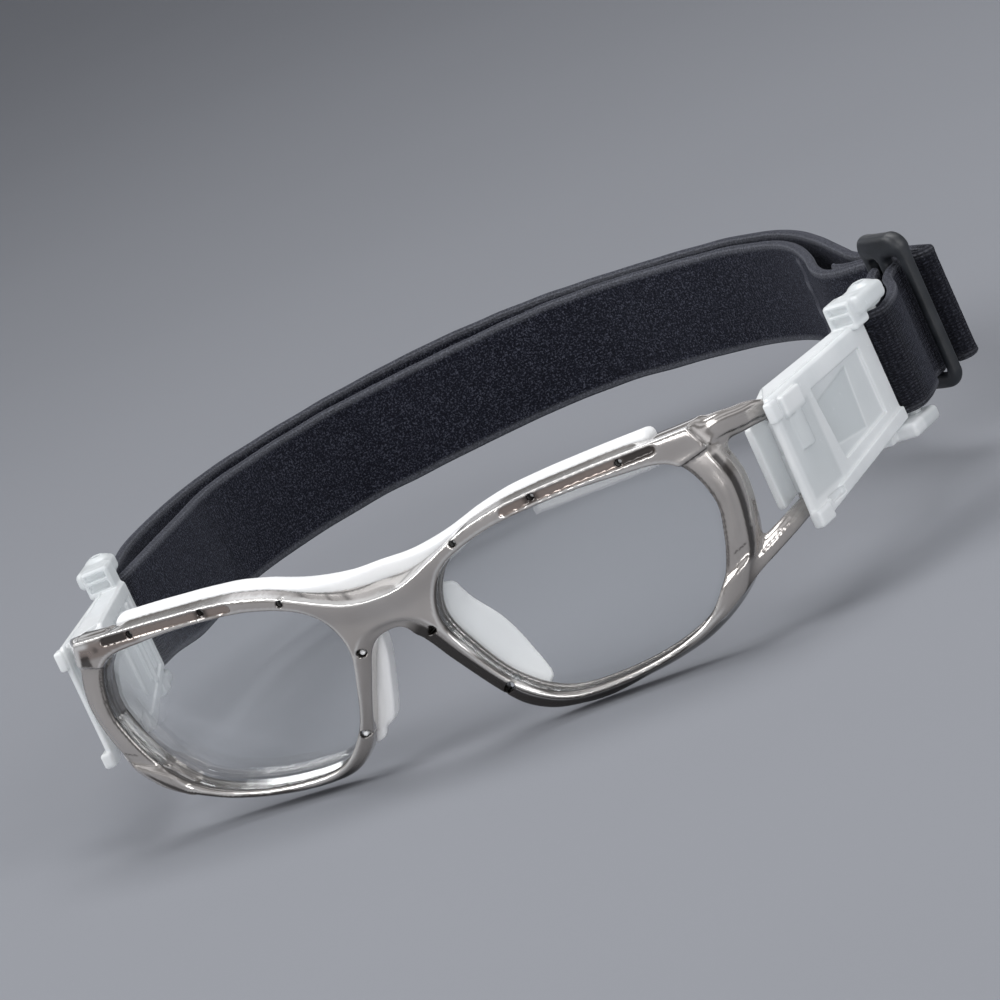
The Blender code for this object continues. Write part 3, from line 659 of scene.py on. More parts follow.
# temple arms: x, y, z of the centre, half thickness, half height
UPPER_ARM = (
    (57.5, 11.0, 9.1, 1.9, 2.5), (61.0, 11.9, 9.0, 2.0, 2.6), (63.8, 13.4, 8.9, 1.9, 2.6),
    (66.2, 15.7, 8.8, 1.75, 2.6), (68.4, 18.4, 8.3, 1.55, 2.45), (70.2, 21.3, 7.9, 1.3, 2.25),
    (HX, HY - 0.8, 6.6, 1.35, 1.7),
)
LOWER_ARM = (
    (55.0, 10.0, -19.8, 1.7, 1.9), (59.6, 10.9, -17.2, 1.7, 1.95), (63.2, 12.7, -15.0, 1.6, 1.9),
    (66.5, 15.8, -13.5, 1.45, 1.8), (69.3, 20.0, -12.3, 1.25, 1.75),
    (HX, HY - 0.8, -11.3, 1.3, 1.6),
)


def outline_normals(outline):
    """Normals of the left opening, pointing away from its middle."""
    t = np.roll(outline, -1, 0) - np.roll(outline, 1, 0)
    t /= np.linalg.norm(t, axis=1)[:, None]
    n = np.stack([-t[:, 1], t[:, 0]], 1)
    outwards = ((outline - [36, -8]) * n).sum(1) > 0
    return np.where(outwards[:, None], n, -n)


OPENING_NORMALS = outline_normals(OPENING)


def plug_at(z, out):
    """Place beside the opening's nose edge, at a height and a distance out."""
    nose_edge = np.where(OPENING_NORMALS[:, 0] < -0.6)[0]
    i = nose_edge[np.argmin(np.abs(OPENING[nose_edge, 1] - z))]
    return OPENING[i] + OPENING_NORMALS[i] * out


PLUG_SPOTS = [plug_at(*plug) for plug in PAD_PLUGS]


def arm_field(x, y, z, rows, ledge, side):
    """Temple arm as a swept rounded section. Its outer face steps in above the ledge
    (side = 1) or below it (side = -1)."""
    path, _ = spline(rows, 360)
    px, py = np.broadcast_arrays(x, y)
    best = np.full(px.shape, 1e9)
    k = np.zeros(px.shape, int)
    for i, p in enumerate(path):
        dist = (px - p[0]) ** 2 + (py - p[1]) ** 2
        hit = dist < best
        best = np.where(hit, dist, best)
        k = np.where(hit, i, k)
    way = np.gradient(path[:, :2], axis=0)
    way /= np.linalg.norm(way, axis=1)[:, None]
    rx, ry = px - path[k, 0], py - path[k, 1]
    along = rx * way[k, 0] + ry * way[k, 1]
    across = rx * way[k, 1] - ry * way[k, 0]
    end = np.where(k == 0, -along, np.where(k == len(path) - 1, along, -1.0))
    centre, half_thick, half_high = (path[k, j] for j in (2, 3, 4))
    v = (z - centre) / half_high
    step_in = 0.5 * fade(v * side, ledge, ledge + 0.14) * fade(k / len(path), 0.28, 0.36)
    across = np.where(across > 0, across + step_in, across)
    power = 3.2  # squareness of the section
    q = (np.abs(across / half_thick) ** power + np.abs(v) ** power) ** (1 / power)
    return np.maximum((q - 1) * np.minimum(half_thick, half_high), end - 0.4)


def brow_channel(x, z):
    """Flat distance to the long slot below the ridge."""
    return np.sqrt((x - np.clip(x, 28.5, 56.5)) ** 2 + (z - (ridge(x) - 1.32)) ** 2) - 0.82


def band_top(x):
    """Upper limit of the recessed band down the outer side."""
    return 6.3 + 0.24 * (x - 60)


def face_relief(x, z, opening, outline, below, near, temple, top):
    """How far the front face lies behind its plain curve."""
    # crowned rims, a dished bridge and a proud brow
    t = np.clip(opening / np.maximum(opening - np.minimum(outline, -0.01), 0.3), 0, 1)
    crown = 0.80 * (2 * t - 1) ** 2 * (1 - 0.8 * top) * (1 - near) * (1 - 0.55 * temple)
    dish = 0.75 * np.exp(-((x / 8.5) ** 2) - (((z + 0.2) / 3.4) ** 2))
    brow = -0.5 * fade(below, 4.6, 0.6)
    # recessed side band with one plain rib down its middle
    foot = -14.2 + 0.5 * (x - 62)
    band = fade(x, 55.5, 58.5) * fade(band_top(x) - z, -0.15, 0.15) * fade(z - foot, -0.6, 1.2)
    u = opening / np.maximum(opening - outline, 1)
    rib = fade(u, 0.30, 0.42) * (1 - fade(u, 0.56, 0.68))
    rib = rib * fade(z, -11.0, -6.5) * (1 - fade(z, -2.5, 4.0))
    return crown + dish + brow + 0.85 * band - band * 0.22 * rib


def frame_half(x, y, z):
    """The front's left half (x >= 0)."""
    outline = poly_sd(x, z, OUTER)
    opening = poly_sd(x, z, OPENING)
    depth = y - front_y(x, z)
    ridge_z = ridge(x)
    below = ridge_z - z
    near = hump(x, 16)
    temple = fade(x, 52, 62)
    top = fade(z, 1, 7)
    face = face_relief(x, z, opening, outline, below, near, temple, top)

    # plate between the faces, with a wide chamfer round the front edge
    back = depth - (5.6 + 1.4 * temple + 0.3 * top * (1 - temple))
    nose = fade(x, 27, 18) * fade(z, 0.5, -3.5)
    wide = 1.55 + 0.65 * nose - 0.85 * fade(x, 50, 60)
    wide = wide * (1 - fade(below, 6.5, 2.5) * fade(x, 30, 50))
    deep = 2.4 - 1.05 * nose
    chamfer = ((outline + wide) * deep - (depth - face) * wide) / np.sqrt(deep**2 + wide**2)
    body = overlap(outline, chamfer, 0.35)
    body = overlap(body, face - depth, 0.45)
    body = overlap(body, back, 0.9)
    # the top face climbs to the back, and a step behind it seats the brow pad
    rise = (0.10 + 0.16 * near - 0.20 * fade(x, 51, 57)) * np.clip(depth, 0, 8)
    body = overlap(body, z - ridge_z - rise, 0.3)
    behind = depth - (3.7 + 2.7 * near)
    seat = np.minimum(np.minimum(behind, z - ridge_z + 2.3), 56.6 - x)
    body = overlap(body, seat, 0.25)
    # the opening, and the groove that holds the lens
    body = cut(body, opening, 0.7)
    across = np.abs(depth - (LENS_SET + LENS_THICK / 2)) - (LENS_THICK / 2 + 0.1)
    body = cut(body, np.maximum(opening - (LENS_BITE + 0.12), across))
    # arms and hinge lugs
    for rows, ledge, side, blend in ((UPPER_ARM, 0.42, -1, 1.7), (LOWER_ARM, 0.30, 1, 0.9)):
        arm = cut(arm_field(x, y, z, rows, ledge, side), opening - 0.6)
        body = union(body, arm, blend)
    from_pin = circle_sd(x, y, (HX, HY), 0)
    for low, high in (UPPER_LUG, LOWER_LUG):
        ends = np.abs(z - (low + high) / 2) - (high - low) / 2
        body = union(body, overlap(from_pin - LUG_R, ends, 0.3), 0.5)
    body = cut(body, np.maximum(from_pin - PIN_R - 0.08, np.abs(z + 2.5) - 20))
    # brow channel, and holes for the studs and plugs
    body = cut(body, np.maximum(brow_channel(x, z), depth - face - 0.32), 0.2)
    for spots, radius in ((BROW_STUDS, 0.62), (PLUG_SPOTS, 0.8)):
        for spot in spots:
            body = cut(body, np.maximum(circle_sd(x, z, spot, radius), depth - 12))
    return body


# ============================================================ front: painted attributes
def vertex_normals(points, quads):
    face = np.cross(points[quads[:, 2]] - points[quads[:, 0]],
                    points[quads[:, 3]] - points[quads[:, 1]])
    face /= np.linalg.norm(face, axis=1)[:, None] + 1e-12
    total = np.zeros((len(points), 3))
    for c in range(4):
        for d in range(3):
            total[:, d] += np.bincount(quads[:, c], face[:, d], len(points))
    return total / (np.linalg.norm(total, axis=1)[:, None] + 1e-12)


def front_marks(points, quads, opening, outline):
    """Painted shade in the holes, brown tint with painted refraction, painted shade and dark
    reflections, and painted highlights of each vertex, 0 to 1; the two halves differ a little.
    """
    x, y, z = points.T
    ax = np.abs(x)
    left, right = x > 0, x < 0
    depth = y - front_y(x, z)
    front = depth < 2.6
    below = ridge(ax) - z
    notch = z - band_top(ax)
    low = fade(z, -1.5, -4.0)
    nose = fade(ax, 24, 16)
    right_front = right * front
    side_z = fade(z, 6.5, 5.5) * fade(z, -15, -13)
    channel = fade(brow_channel(ax, z), 0.10, -0.1) * (depth < 1.6)

    # painted shade in the holes round the brow studs and the nose pad plugs, fainter on the left
    pit_shade = np.zeros(len(points))
    for sx, sz in BROW_STUDS:
        pit_shade = np.maximum(pit_shade, fade(np.hypot(ax - sx, z - sz), 0.95, 0.6) * (depth < 2.5))
    for px, pz in PLUG_SPOTS:
        hole = fade(np.hypot(ax - px, z - pz), 1.02, 0.78) * (depth < 2.5)
        pit_shade = np.maximum(pit_shade, hole * np.where(left, 0.3, 1.0))

    # brown in the channel and in a spot near its inner end, and painted brown refraction along
    # the right temple's top
    temple_x = ax - np.clip(ax, 50, 62.6)
    temple_top = np.sqrt(temple_x**2 + (z - (ridge(ax) - 2.3)) ** 2) - 1.5
    tint_and_refraction = np.maximum.reduce([
        channel * 0.85,
        0.8 * fade(np.hypot((ax - 30.5) / 2.6, (below - 1.9) / 0.9), 1.0, 0.6) * (depth < 1.0),
        0.75 * right_front * fade(temple_top, 0.4, -0.4),
    ])

    # painted dark reflection on the thick lower edge under the arch and round the foot of each
    # rim
    under = low * fade(ax, 66, 60) * fade(ax, 1.5, 3.5)
    facing = np.where(left, 1.0, 1 - 0.86 * nose)
    rim = np.where(left, -1.35, -1.75 - 0.35 * nose)
    # painted shade in streaks on the top face over the bridge: x and width
    streak = sum(np.exp(-((ax - start - 0.8 * depth) / width) ** 2)
                 for start, width in ((4.2, 0.7), (7.6, 0.45), (12.5, 0.9)))
    streak = np.clip(streak, 0, 1) * fade(below, 0.5, -0.1)
    # painted dark reflections along the rims' feet
    line = low * stripe(opening - 1.05, 0.30, 0.14) * (depth < 1.6) * left
    line = line * fade(ax, 11, 14) * fade(ax, 50, 46)
    dark_patch = stripe(outline + 1.6, 0.55 + 0.18 * np.sin(0.9 * ax), 0.25) * right_front
    dark_patch = dark_patch * fade(z, -14.5, -16.5) * fade(ax, 28, 35)
    foot = np.maximum(line, dark_patch)
    seat = depth - 3.35 - 2.6 * np.clip(1 - ax / 16, 0, 1) ** 2
    wall = fade(opening, 0.42, 0.2)
    arm = fade(ax, 61.5, 63.5) * fade(depth, 2.5, 4.0)
    wider = fade(ax, 60.5, 57.5)
    tick = (z + 11.3) - 0.35 * (ax - 62.5)
    middle_spot = np.hypot((ax - 34.0) / 1.5, 1)
    shade = np.maximum.reduce([
        # painted shade at the channel's outer end and round its middle stud
        channel * (0.9 * fade(ax, 50.6, 51.6) + 0.75 * fade(middle_spot, 1.6, 1.2)),
        0.97 * under * facing * fade(outline, rim, rim + 0.4) * fade(depth, 0.35, 0.75),
        # painted shade on the opening's wall before and behind the lens, and on the step under
        # the brow pad
        0.85 * wall * fade(depth, 0.55, 0.8) * fade(depth, 2.1, 1.9),
        0.7 * wall * stripe(depth - 4.45, 0.35, 0.15),
        0.85 * stripe(seat, 0.42, 0.2) * fade(below, 2.4, 2.0) * (ax < 57),
        0.75 * streak * fade(depth, 0.8, 1.4) * fade(depth, 5.2, 3.6),
        # painted shade on the downward faces of the arms
        arm * fade(-vertex_normals(points, quads)[:, 2], 0.35, 0.75) * 0.9,
        # painted dark lines along the side band's outer and inner edges, its upper end and a tick
        # at its foot
        0.92 * fade(ax, 56, 58) * stripe(outline + 0.62, 0.42, 0.2) * front * side_z,
        0.8 * fade(ax, 56, 58) * stripe(opening - 0.62, 0.30, 0.12) * front * side_z,
        0.95 * fade(ax, 55.5, 57) * stripe(notch + 0.1, 0.20 + 0.5 * wider, 0.08 + 0.3 * wider)
        * front * fade(ax, 68, 66.5),
        0.8 * stripe(tick, 0.24, 0.1) * stripe(ax - 63.0, 1.5, 1.1) * front,
        # painted shade at the right temple's upper end, where the brow steps down to the side
        0.9 * right_front * fade(ax, 60.9, 61.4) * fade(outline, -1.1, -1.6)
        * fade(below, 2.4, 3.0) * fade(notch, 0.1, 0.5),
        0.6 * right_front * fade(np.hypot(ax - 59.0, below - 2.3), 0.9, 0.4),
        0.9 * foot,
    ])
    right_top = right & (ax > 58) & (z > 6.8) & (depth > 0.4)
    shade = np.where(right_top, np.minimum(shade, 0.25), shade)

    # painted highlights on the crests: the ridge line, the lip round the openings, and the outer
    # edge
    light = np.maximum.reduce([
        0.75 * stripe(below, 0.42, 0.12) * (depth < 1.4),
        0.55 * stripe(opening - 0.62, 0.34, 0.1) * (depth < 0.9),
        0.6 * low * stripe(outline + 1.95 + 0.5 * nose, 0.36, 0.1) * (depth < 1.6)
        * fade(ax, 58, 54),
    ])
    light = light * (1 - channel) * (1 - fade(ax, 55, 57.5) * fade(z, 7.0, 6.0)) * (1 - foot)
    # painted highlight along the edges of the right temple's upper corner
    rims = np.maximum(fade(outline, -1.6, -1.0), fade(below, 1.9, 1.2))
    light = np.maximum(light, 0.85 * right * fade(ax, 59.5, 61.5) * fade(z, 6.6, 7.4) * rims)
    return {"pit_shade": pit_shade, "tint_and_refraction": tint_and_refraction, "shade": shade, "light": light}


def spread_nose_edge(points, outline):
    """Pushes the rear lower edge, on the left of the arch, out past the face."""
    x, y, z = points.T
    depth = y - front_y(x, z)
    edge = np.where((x > 0.4) & (x < 38) & (z < -2.0) & (outline > -1.4))[0]
    h = 0.05  # reach of the finite difference
    x, z = x[edge], z[edge]
    slope_x = (poly_sd(x + h, z, OUTER) - poly_sd(x - h, z, OUTER)) / (2 * h)
    slope_z = (poly_sd(x, z + h, OUTER) - poly_sd(x, z - h, OUTER)) / (2 * h)
    far = (0.7 + 0.8 * fade(x, 25, 16)) * fade(x, 0.4, 4.0) * fade(x, 38, 27)
    far = far * fade(z, -2.0, -4.2)
    far = far * fade(outline[edge], -1.3, -0.2) * fade(depth[edge], 0.7, 1.5)
    points[edge, 0] += far * slope_x
    points[edge, 2] += far * slope_z


def build_front():
    cell = 0.29
    points, quads = mirrored_mesh(76, (-1.6, -30), (30, 16), cell, frame_half, rounds=2)
    ax, z = np.abs(points[:, 0]), points[:, 2]
    opening, outline = poly_sd(ax, z, OPENING), poly_sd(ax, z, OUTER)
    attrs = front_marks(points, quads, opening, outline)
    spread_nose_edge(points, outline)
    front = quad_object("goggle_front", points, quads, SMOKE, attrs)
    register(front, "frame", "frame_plastic", "front_frame")
    thin_out(front, len(quads))


build_front()


# ============================================================ lenses
def lens_plate(s, bevel=0.3, ring_count=14):
    """Points, faces and edge values of a curved plate; s is 1 for left, -1 for right."""
    n = len(OPENING)
    middle = np.array([36.0, -8.0])
    y0, y1 = LENS_SET, LENS_SET + LENS_THICK
    rings, edge = [], []

    def ring(offset, back, edge_value, scale=1):
        q = OPENING + OPENING_NORMALS * offset
        if scale != 1:
            q = middle + (q - middle) * scale
        y = front_y(q[:, 0], q[:, 1]) + back
        rings.append(np.stack([s * q[:, 0], y, q[:, 1]], 1))
        edge.append(np.full(n, edge_value))

    scales = np.linspace(0, 1, ring_count + 1)[1:-1]
    flat = LENS_BITE - bevel
    for scale in scales:
        ring(flat, y0, 0, scale)
    ring(flat, y0, 0.2)
    ring(LENS_BITE, y0 + bevel, 1)
    ring(LENS_BITE, y1 - bevel, 1)
    ring(flat, y1, 0.2)
    for scale in scales[::-1]:
        ring(flat, y1, 0, scale)
    i = np.arange(n)
    j = (i + 1) % n
    quads = np.vstack([
        np.stack([r * n + i, r * n + j, (r + 1) * n + j, (r + 1) * n + i], 1)
        for r in range(len(rings) - 1)])
    front_pole, last = len(rings) * n, (len(rings) - 1) * n
    poles = [[s * middle[0], front_y(*middle) + y, middle[1]] for y in (y0, y1)]
    caps = np.vstack([
        np.stack([np.full(n, front_pole), j, i], 1),
        np.stack([np.full(n, front_pole + 1), last + i, last + j], 1)])
    if s < 0:
        quads, caps = quads[:, ::-1], caps[:, [0, 2, 1]]
    return np.vstack(rings + [poles]), quads.tolist() + caps.tolist(), np.concatenate(
        edge + [[0, 0]])


for side, s in SIDES:
    points, faces, edge = lens_plate(s)
    lens = poly_object("clear_lens_" + side, points, faces, LENS)
    add_attributes(lens.data, {"edge": edge})
    face_outwards(lens.data)
    lens.data.set_sharp_from_angle(angle=math.radians(32))
    register(lens, "frame", "lens", "lens_" + side)


# ============================================================ brow pad and nose pads
def brow_field(x, y, z):
    """Half (x >= 0) of the soft strip behind the brow; it stands higher over the bridge."""
    near = hump(x, 20)
    ridge_z = ridge(x)
    depth = y - front_y(x, ridge_z)
    seat = 3.95 + 2.75 * hump(x, 16)
    # the lip that rests on the front's step, and the body behind the front
    lip = overlap(overlap(seat - depth, ridge_z - 2.05 - z, 0.3), depth - 9.2, 0.6)
    low = ridge_z - BROW_HEIGHT + 0.9
    body = overlap(6.15 + 1.0 * near - depth, low - z, 0.6)
    body = overlap(body, depth - 9.2 - 0.8 * near, 1.0)
    pad = union(lip, body, 0.2)
    # crowned top and tapered ends
    top = ridge_z + 1.15 + 3.1 * near
    crown = 0.28 * (depth - 6.6 - 1.2 * near) ** 2 / 4
    pad = overlap(pad, z - top + crown, 0.7)
    pad = overlap(pad, x - 55.2, 1.0)
    pad = overlap(pad, (z - (ridge_z + 0.2 + 5.0 * fade(x, 55.6, 51.5))) * 0.8, 0.5)
    for spot in BROW_STUDS:
        stud_y = y - front_y(*spot)
        stud = np.maximum(circle_sd(x, z, spot, STUD_R), np.maximum(1.1 - stud_y, stud_y - 8))
        pad = union(pad, stud, 0.15)
    return pad


def nose_field(x, y, z, plug_front):
    """A nose pad (x >= 0): a wing from the rim's back, with plugs that start at plug_front."""
    opening = poly_sd(x, z, OPENING)
    depth = y - front_y(x, z)
    back = depth - 6.0
    t = np.clip((1.5 - z) / 24.5, 0, 1)
    reach = 1.0 + 4.9 * np.sin(np.pi * (t * 0.94 + 0.03)) ** 0.75
    # the wing bows towards the opening as it goes back
    bow = np.sin(np.pi * np.clip(back / reach, 0, 1))
    centre = 1.9 - 0.86 * back + 0.9 * bow
    half = 1.25 + 0.35 * bow
    wing = (np.abs(opening - centre) - half) * 0.76
    wing = overlap(wing, back - reach, 1.3)
    wing = overlap(wing, 6.0 - depth, 0.3)
    wing = overlap(wing, z + 0.1 * back - 1.2, 1.5)
    wing = overlap(wing, -24.2 - z + 0.25 * back, 1.5)
    wing = overlap(wing, x - 34, 0.5)

    def strip_field(out, half_width, middle, half_depth, half_height):
        flat = overlap(np.abs(opening - out) - half_width,
                       np.abs(depth - middle) - half_depth, 0.5)
        return overlap(flat, np.abs(z + 11.0) - half_height, 1.0)

    # the foot, and a strip that shows beside the rim's nose edge
    wing = union(wing, strip_field(2.6, 1.6, 7.1, 1.05, 10.2), 0.6)
    wing = union(wing, strip_field(3.9, 0.75, 7.6, 1.7, 9.5), 0.6)
    wing = np.maximum(wing, z - 3.5)
    for spot in PLUG_SPOTS:
        plug_y = y - front_y(*spot)
        ends = np.maximum(plug_front - plug_y, plug_y - 7)
        wing = union(wing, np.maximum(circle_sd(x, z, spot, 0.52), ends), 0.1)
    return wing


def build_pads():
    cell = 0.33
    points, quads = mirrored_mesh(57.5, (1.0, -1.0), (18.5, 15.5), cell, brow_field, rounds=3)
    pad = quad_object("brow_cushion", points, quads, SILICONE)
    register(pad, "frame", "silicone", "brow_pad")

    cell = 0.3
    x = 3.0 + cell * np.arange(int(34 / cell))
    y = np.arange(-1.0, 18.0, cell)
    z = np.arange(-27, 4.5, cell)
    for (side, s), plug_front in zip(SIDES, (2.8, 1.0)):
        field = sample(lambda *p: nose_field(*p, plug_front), x, y, z)
        points, quads = surface_nets(field, np.array([x[0], y[0], z[0]]), cell)
        points, quads = keep_largest(points, quads)
        points = relax(points, quads, 3) * [s, 1, 1]
        wing = quad_object("nose_wing_" + side, points, quads[:, ::s], NOSE_SILICONE_PAINTED_LIGHT)
        register(wing, "frame", "silicone", "nose_pad_" + side)


build_pads()


# ============================================================ clips
# Fields here take p = (along, out, z): backwards along the clip, outwards, up.
COVER = (  # outline of the cover: along, z
    (-1.1, CLIP_BOTTOM_FRONT + 1.2), (-0.8, CLIP_BOTTOM_FRONT + 0.3),
    (0.2, CLIP_BOTTOM_FRONT - 0.25), (1.3, CLIP_BOTTOM_FRONT + 0.1),
    (CLIP_LENGTH - 0.4, CLIP_BOTTOM_REAR), (CLIP_LENGTH + 0.1, CLIP_BOTTOM_REAR + 0.7),
    (CLIP_LENGTH + 0.1, CLIP_TOP - 0.6), (CLIP_LENGTH - 0.6, CLIP_TOP), (0.4, CLIP_TOP),
    (-0.6, CLIP_TOP - 0.9),
)
WINDOW = ((13.6, 5.4), (32.9, 5.4), (32.9, -7.3), (15.2, -8.7))  # recess in the cover
PANEL = ((14.6, 2.6), (27.2, 4.3), (26.0, -7.2), (15.6, -6.0))  # deeper recess within it
INNER_PLATE = (
    (0.3, 4.6), (1.2, 6.0), (9.2, CLIP_TOP - 0.3), (CLIP_LENGTH - 0.3, CLIP_TOP - 0.3),
    (CLIP_LENGTH, 8.2), (CLIP_LENGTH, -9.2), (15.5, -13.6), (14.6, -13.9), (10.2, -13.9),
    (9.5, -13.2), (9.3, -9.9), (8.2, -9.4), (0.6, -10.4), (0.3, -9.9),
)
BORDER_HOLE = ((11.5, 6.4), (35.5, 6.4), (35.5, -8.2), (15.5, -11.4), (11.5, -11.4))
ROOF_PLAN = (  # along, out
    (0.4, -1.4), (CLIP_LENGTH - 0.2, -1.4), (CLIP_LENGTH - 0.2, 0.25 - CLIP_WIDE_REAR),
    (9.0, -6.3),
)


def box(p, alongs, outs, heights, rounding=0.25):
    """Rounded box between limits on the three axes."""
    q = [np.abs(c - (a + b) / 2) - ((b - a) / 2 - rounding)
         for c, (a, b) in zip(p, (alongs, outs, heights))]
    outside = np.sqrt(sum(np.maximum(v, 0) ** 2 for v in q))
    return outside + np.minimum(np.maximum(np.maximum(q[0], q[1]), q[2]), 0) - rounding


def slab(p, poly, low, high, blend=0.3):
    """Plate with an outline in (along, z), from low to high across."""
    return overlap(poly_sd(p[0], p[2], poly), np.maximum(low - p[1], p[1] - high), blend)


def post(p, place, radius):
    """Endless upright cylinder."""
    return circle_sd(p[0], p[1], place, radius)


def housing_field(*p):
    along, out, z = p
    narrowing = (CLIP_WIDE_REAR - CLIP_WIDE_FRONT) * np.clip(along, 0, CLIP_LENGTH)
    inner = -(CLIP_WIDE_FRONT + narrowing / CLIP_LENGTH)
    # inner plate with a raised border on its head side, a roof and a rear wall
    body = slab(p, INNER_PLATE, inner, inner + 1.15)
    border = slab(p, INNER_PLATE, inner - 0.35, inner + 0.4)
    body = union(body, cut(border, poly_sd(along, z, BORDER_HOLE)), 0.2)
    roof = overlap(poly_sd(along, out, ROOF_PLAN), np.abs(z - (CLIP_TOP - 0.6)) - 0.55, 0.3)
    body = union(body, roof, 0.35)
    rear = box(p, (CLIP_LENGTH - 1.4, CLIP_LENGTH - 0.1), (-CLIP_WIDE_REAR + 0.1, -1.35),
               (-9.1, CLIP_TOP - 0.3))
    body = union(body, rear, 0.35)
    # two cross walls inside, and three shallow ribs on the plate's head side
    for a in (18.0, 27.0):
        body = union(body, box(p, (a, a + 1.1), (-6.0, -1.9), (-9.3, 5.4)), 0.4)
    skin = np.maximum(inner - 0.45 - out, out - inner - 0.6)
    for a in (16.2, 24.6, 31.4):
        rib = box(p, (a, a + 1.5), (-7.5, -3.0), (-8.2 - 0.06 * (24 - a), 6.0))
        body = union(body, np.maximum(rib, skin), 0.25)
    # upper rear bracket: a block with two pockets, then an arm out to the bar
    block = box(p, (33.2, CLIP_LENGTH + 0.5), (-4.3, 1.4), (CLIP_TOP - 0.9, 13.9), 0.7)
    body = union(body, block, 0.35)
    body = union(body, box(p, (34.5, BAR[0] + 2.6), (-3.4, 2.9), (10.4, 13.9), 1.2), 0.5)
    body = union(body, post(p, BAR, 2.3) + np.maximum(np.abs(z - 12.1) - 2.0, 0) * 2, 0.5)
    for heights in ((9.7, 11.2), (11.9, 13.1)):
        body = cut(body, box(p, (32.0, 34.6), (-3.5, 0.7), heights, 0.3))
    # lower rear bracket
    block = box(p, (33.0, CLIP_LENGTH - 0.1), (-4.35, -1.55), (-13.8, -8.6), 0.5)
    body = union(body, block, 0.35)
    arm = box(p, (CLIP_LENGTH - 3.0, BAR[0] + 2.5), (-3.3, 2.8), (-14.0, -11.2), 0.9)
    body = union(body, arm, 0.4)
    return cut(body, post(p, BAR, BAR_R + 0.05))


def cover_field(*p):
    along, out, z = p
    body = slab(p, COVER, -1.2, 0.0)
    # chamfered outer edge, and the two recesses
    body = overlap(body, (poly_sd(along, z, COVER) + out + 0.55) * 0.707, 0.15)
    body = cut(body, np.maximum(poly_sd(along, z, WINDOW), -0.62 - out), 0.12)
    body = cut(body, np.maximum(poly_sd(along, z, PANEL), -0.82 - out), 0.15)
    # blocks at the front's top, with a round boss under the larger
    body = union(body, box(p, (-1.5, 1.4), (-0.9, 0.85), (5.0, 8.9), 0.5), 0.2)
    body = union(body, box(p, (2.4, 9.2), (-0.9, 1.15), (4.4, 8.4), 0.45), 0.15)
    boss = np.maximum(post(p, (5.8, -1.7), 2.9), np.abs(z - 1.4) - 3.4)
    body = union(body, np.maximum(boss, -0.6 - out), 0.15)
    # the foot: a thicker strip with a slot near its front, and a block at its front end
    front, rear = (0.2, CLIP_BOTTOM_FRONT + 0.2), (CLIP_LENGTH - 0.3, CLIP_BOTTOM_REAR + 0.15)
    foot = (front, rear, (rear[0], rear[1] + 2.4), (2.2, CLIP_BOTTOM_FRONT + 2.6))
    body = union(body, slab(p, foot, -1.0, 0.75), 0.25)
    body = cut(body, box(p, (4.6, 9.6), (-0.35, 3), (-12.9, -11.6), 0.3))
    heights = (CLIP_BOTTOM_FRONT - 0.3, CLIP_BOTTOM_FRONT + 2.7)
    return union(body, box(p, (-1.6, 3.4), (-1.1, 1.2), heights, 0.6), 0.3)


def knuckle_field(*p):
    z = p[2]
    low, high = LOWER_LUG[1] + 0.35, UPPER_LUG[0] - 0.35
    # barrel between the lugs, slimmer above; then a web and a block behind it
    body = np.maximum(post(p, HINGE, LUG_R), np.maximum(low - z, z + 2.2))
    slim = np.maximum(post(p, HINGE, 1.7), np.maximum(-2.6 - z, z - high))
    body = union(body, slim, 0.15)
    body = union(body, box(p, (HINGE[0] + 0.6, 15.2), (-5.0, -2.3), (-8.9, high - 0.6), 0.3), 0.3)
    body = union(body, box(p, (10.0, 15.6), (-5.05, -1.55), (-8.3, 6.6), 0.5), 0.3)
    for groove in (-7.0, -4.4, 0.4):
        body = cut(body, box(p, (9.0, 14.4), (-2.0, 0), (groove, groove + 1.0), 0.25))
    return cut(body, post(p, HINGE, PIN_R + 0.05))


# how thin, so how clear, the plastic is at each vertex
def housing_thin(along, z):
    roof = 0.55 * fade(z, CLIP_TOP - 0.2, CLIP_TOP + 0.6)
    return np.clip(roof + 0.55 * fade(along, CLIP_LENGTH + 0.2, CLIP_LENGTH + 1.2), 0, 0.6)


def cover_thin(along, z):
    panel = fade(poly_sd(along, z, PANEL), 0.1, -0.3)
    window = fade(poly_sd(along, z, WINDOW), -0.1, -0.6) * (0.45 + 0.45 * panel)
    front = 0.7 * fade(along, 12.2, 11.0) * fade(along, 0.6, 1.6)
    return np.maximum(window, front * fade(z, 5.6, 4.6) * fade(z, -11.0, -10.0))


def knuckle_thin(along, z):
    return np.full(len(along), 0.35)


# object name, CAD name, field, thinness, low and high corners of the sampled box
CLIP_PIECES = (
    ("clip_body_", "clip_housing_", housing_field, housing_thin,
     (-0.6, -8.6, -14.8), (46.2, 3.8, 14.8)),
    ("clip_cover_", "clip_cover_", cover_field, cover_thin,
     (-2.6, -1.9, -15.8), (39.0, 2.1, 10.2)),
    ("clip_knuckle_", "clip_knuckle_", knuckle_field, knuckle_thin,
     (2.9, -6.2, -10.0), (16.4, -0.9, 7.4)),
)
for name, cad_name, fn, thinness, low, high in CLIP_PIECES:
    points, quads = field_mesh(low, high, 0.2, fn, rounds=2)
    points, quads = keep_largest(points, quads)
    along, out, z = points.T
    thin = thinness(along, z)
    x, y = clip_xy(along, out)
    for side, s in SIDES:
        shell = quad_object(name + side + "_shell", np.stack([s * x, y, z], 1), quads[:, ::s],
                            MILKY, {"thin": thin})
        register(shell, "clip_" + side, "clip_plastic", cad_name + side)
        thin_out(shell, len(quads))


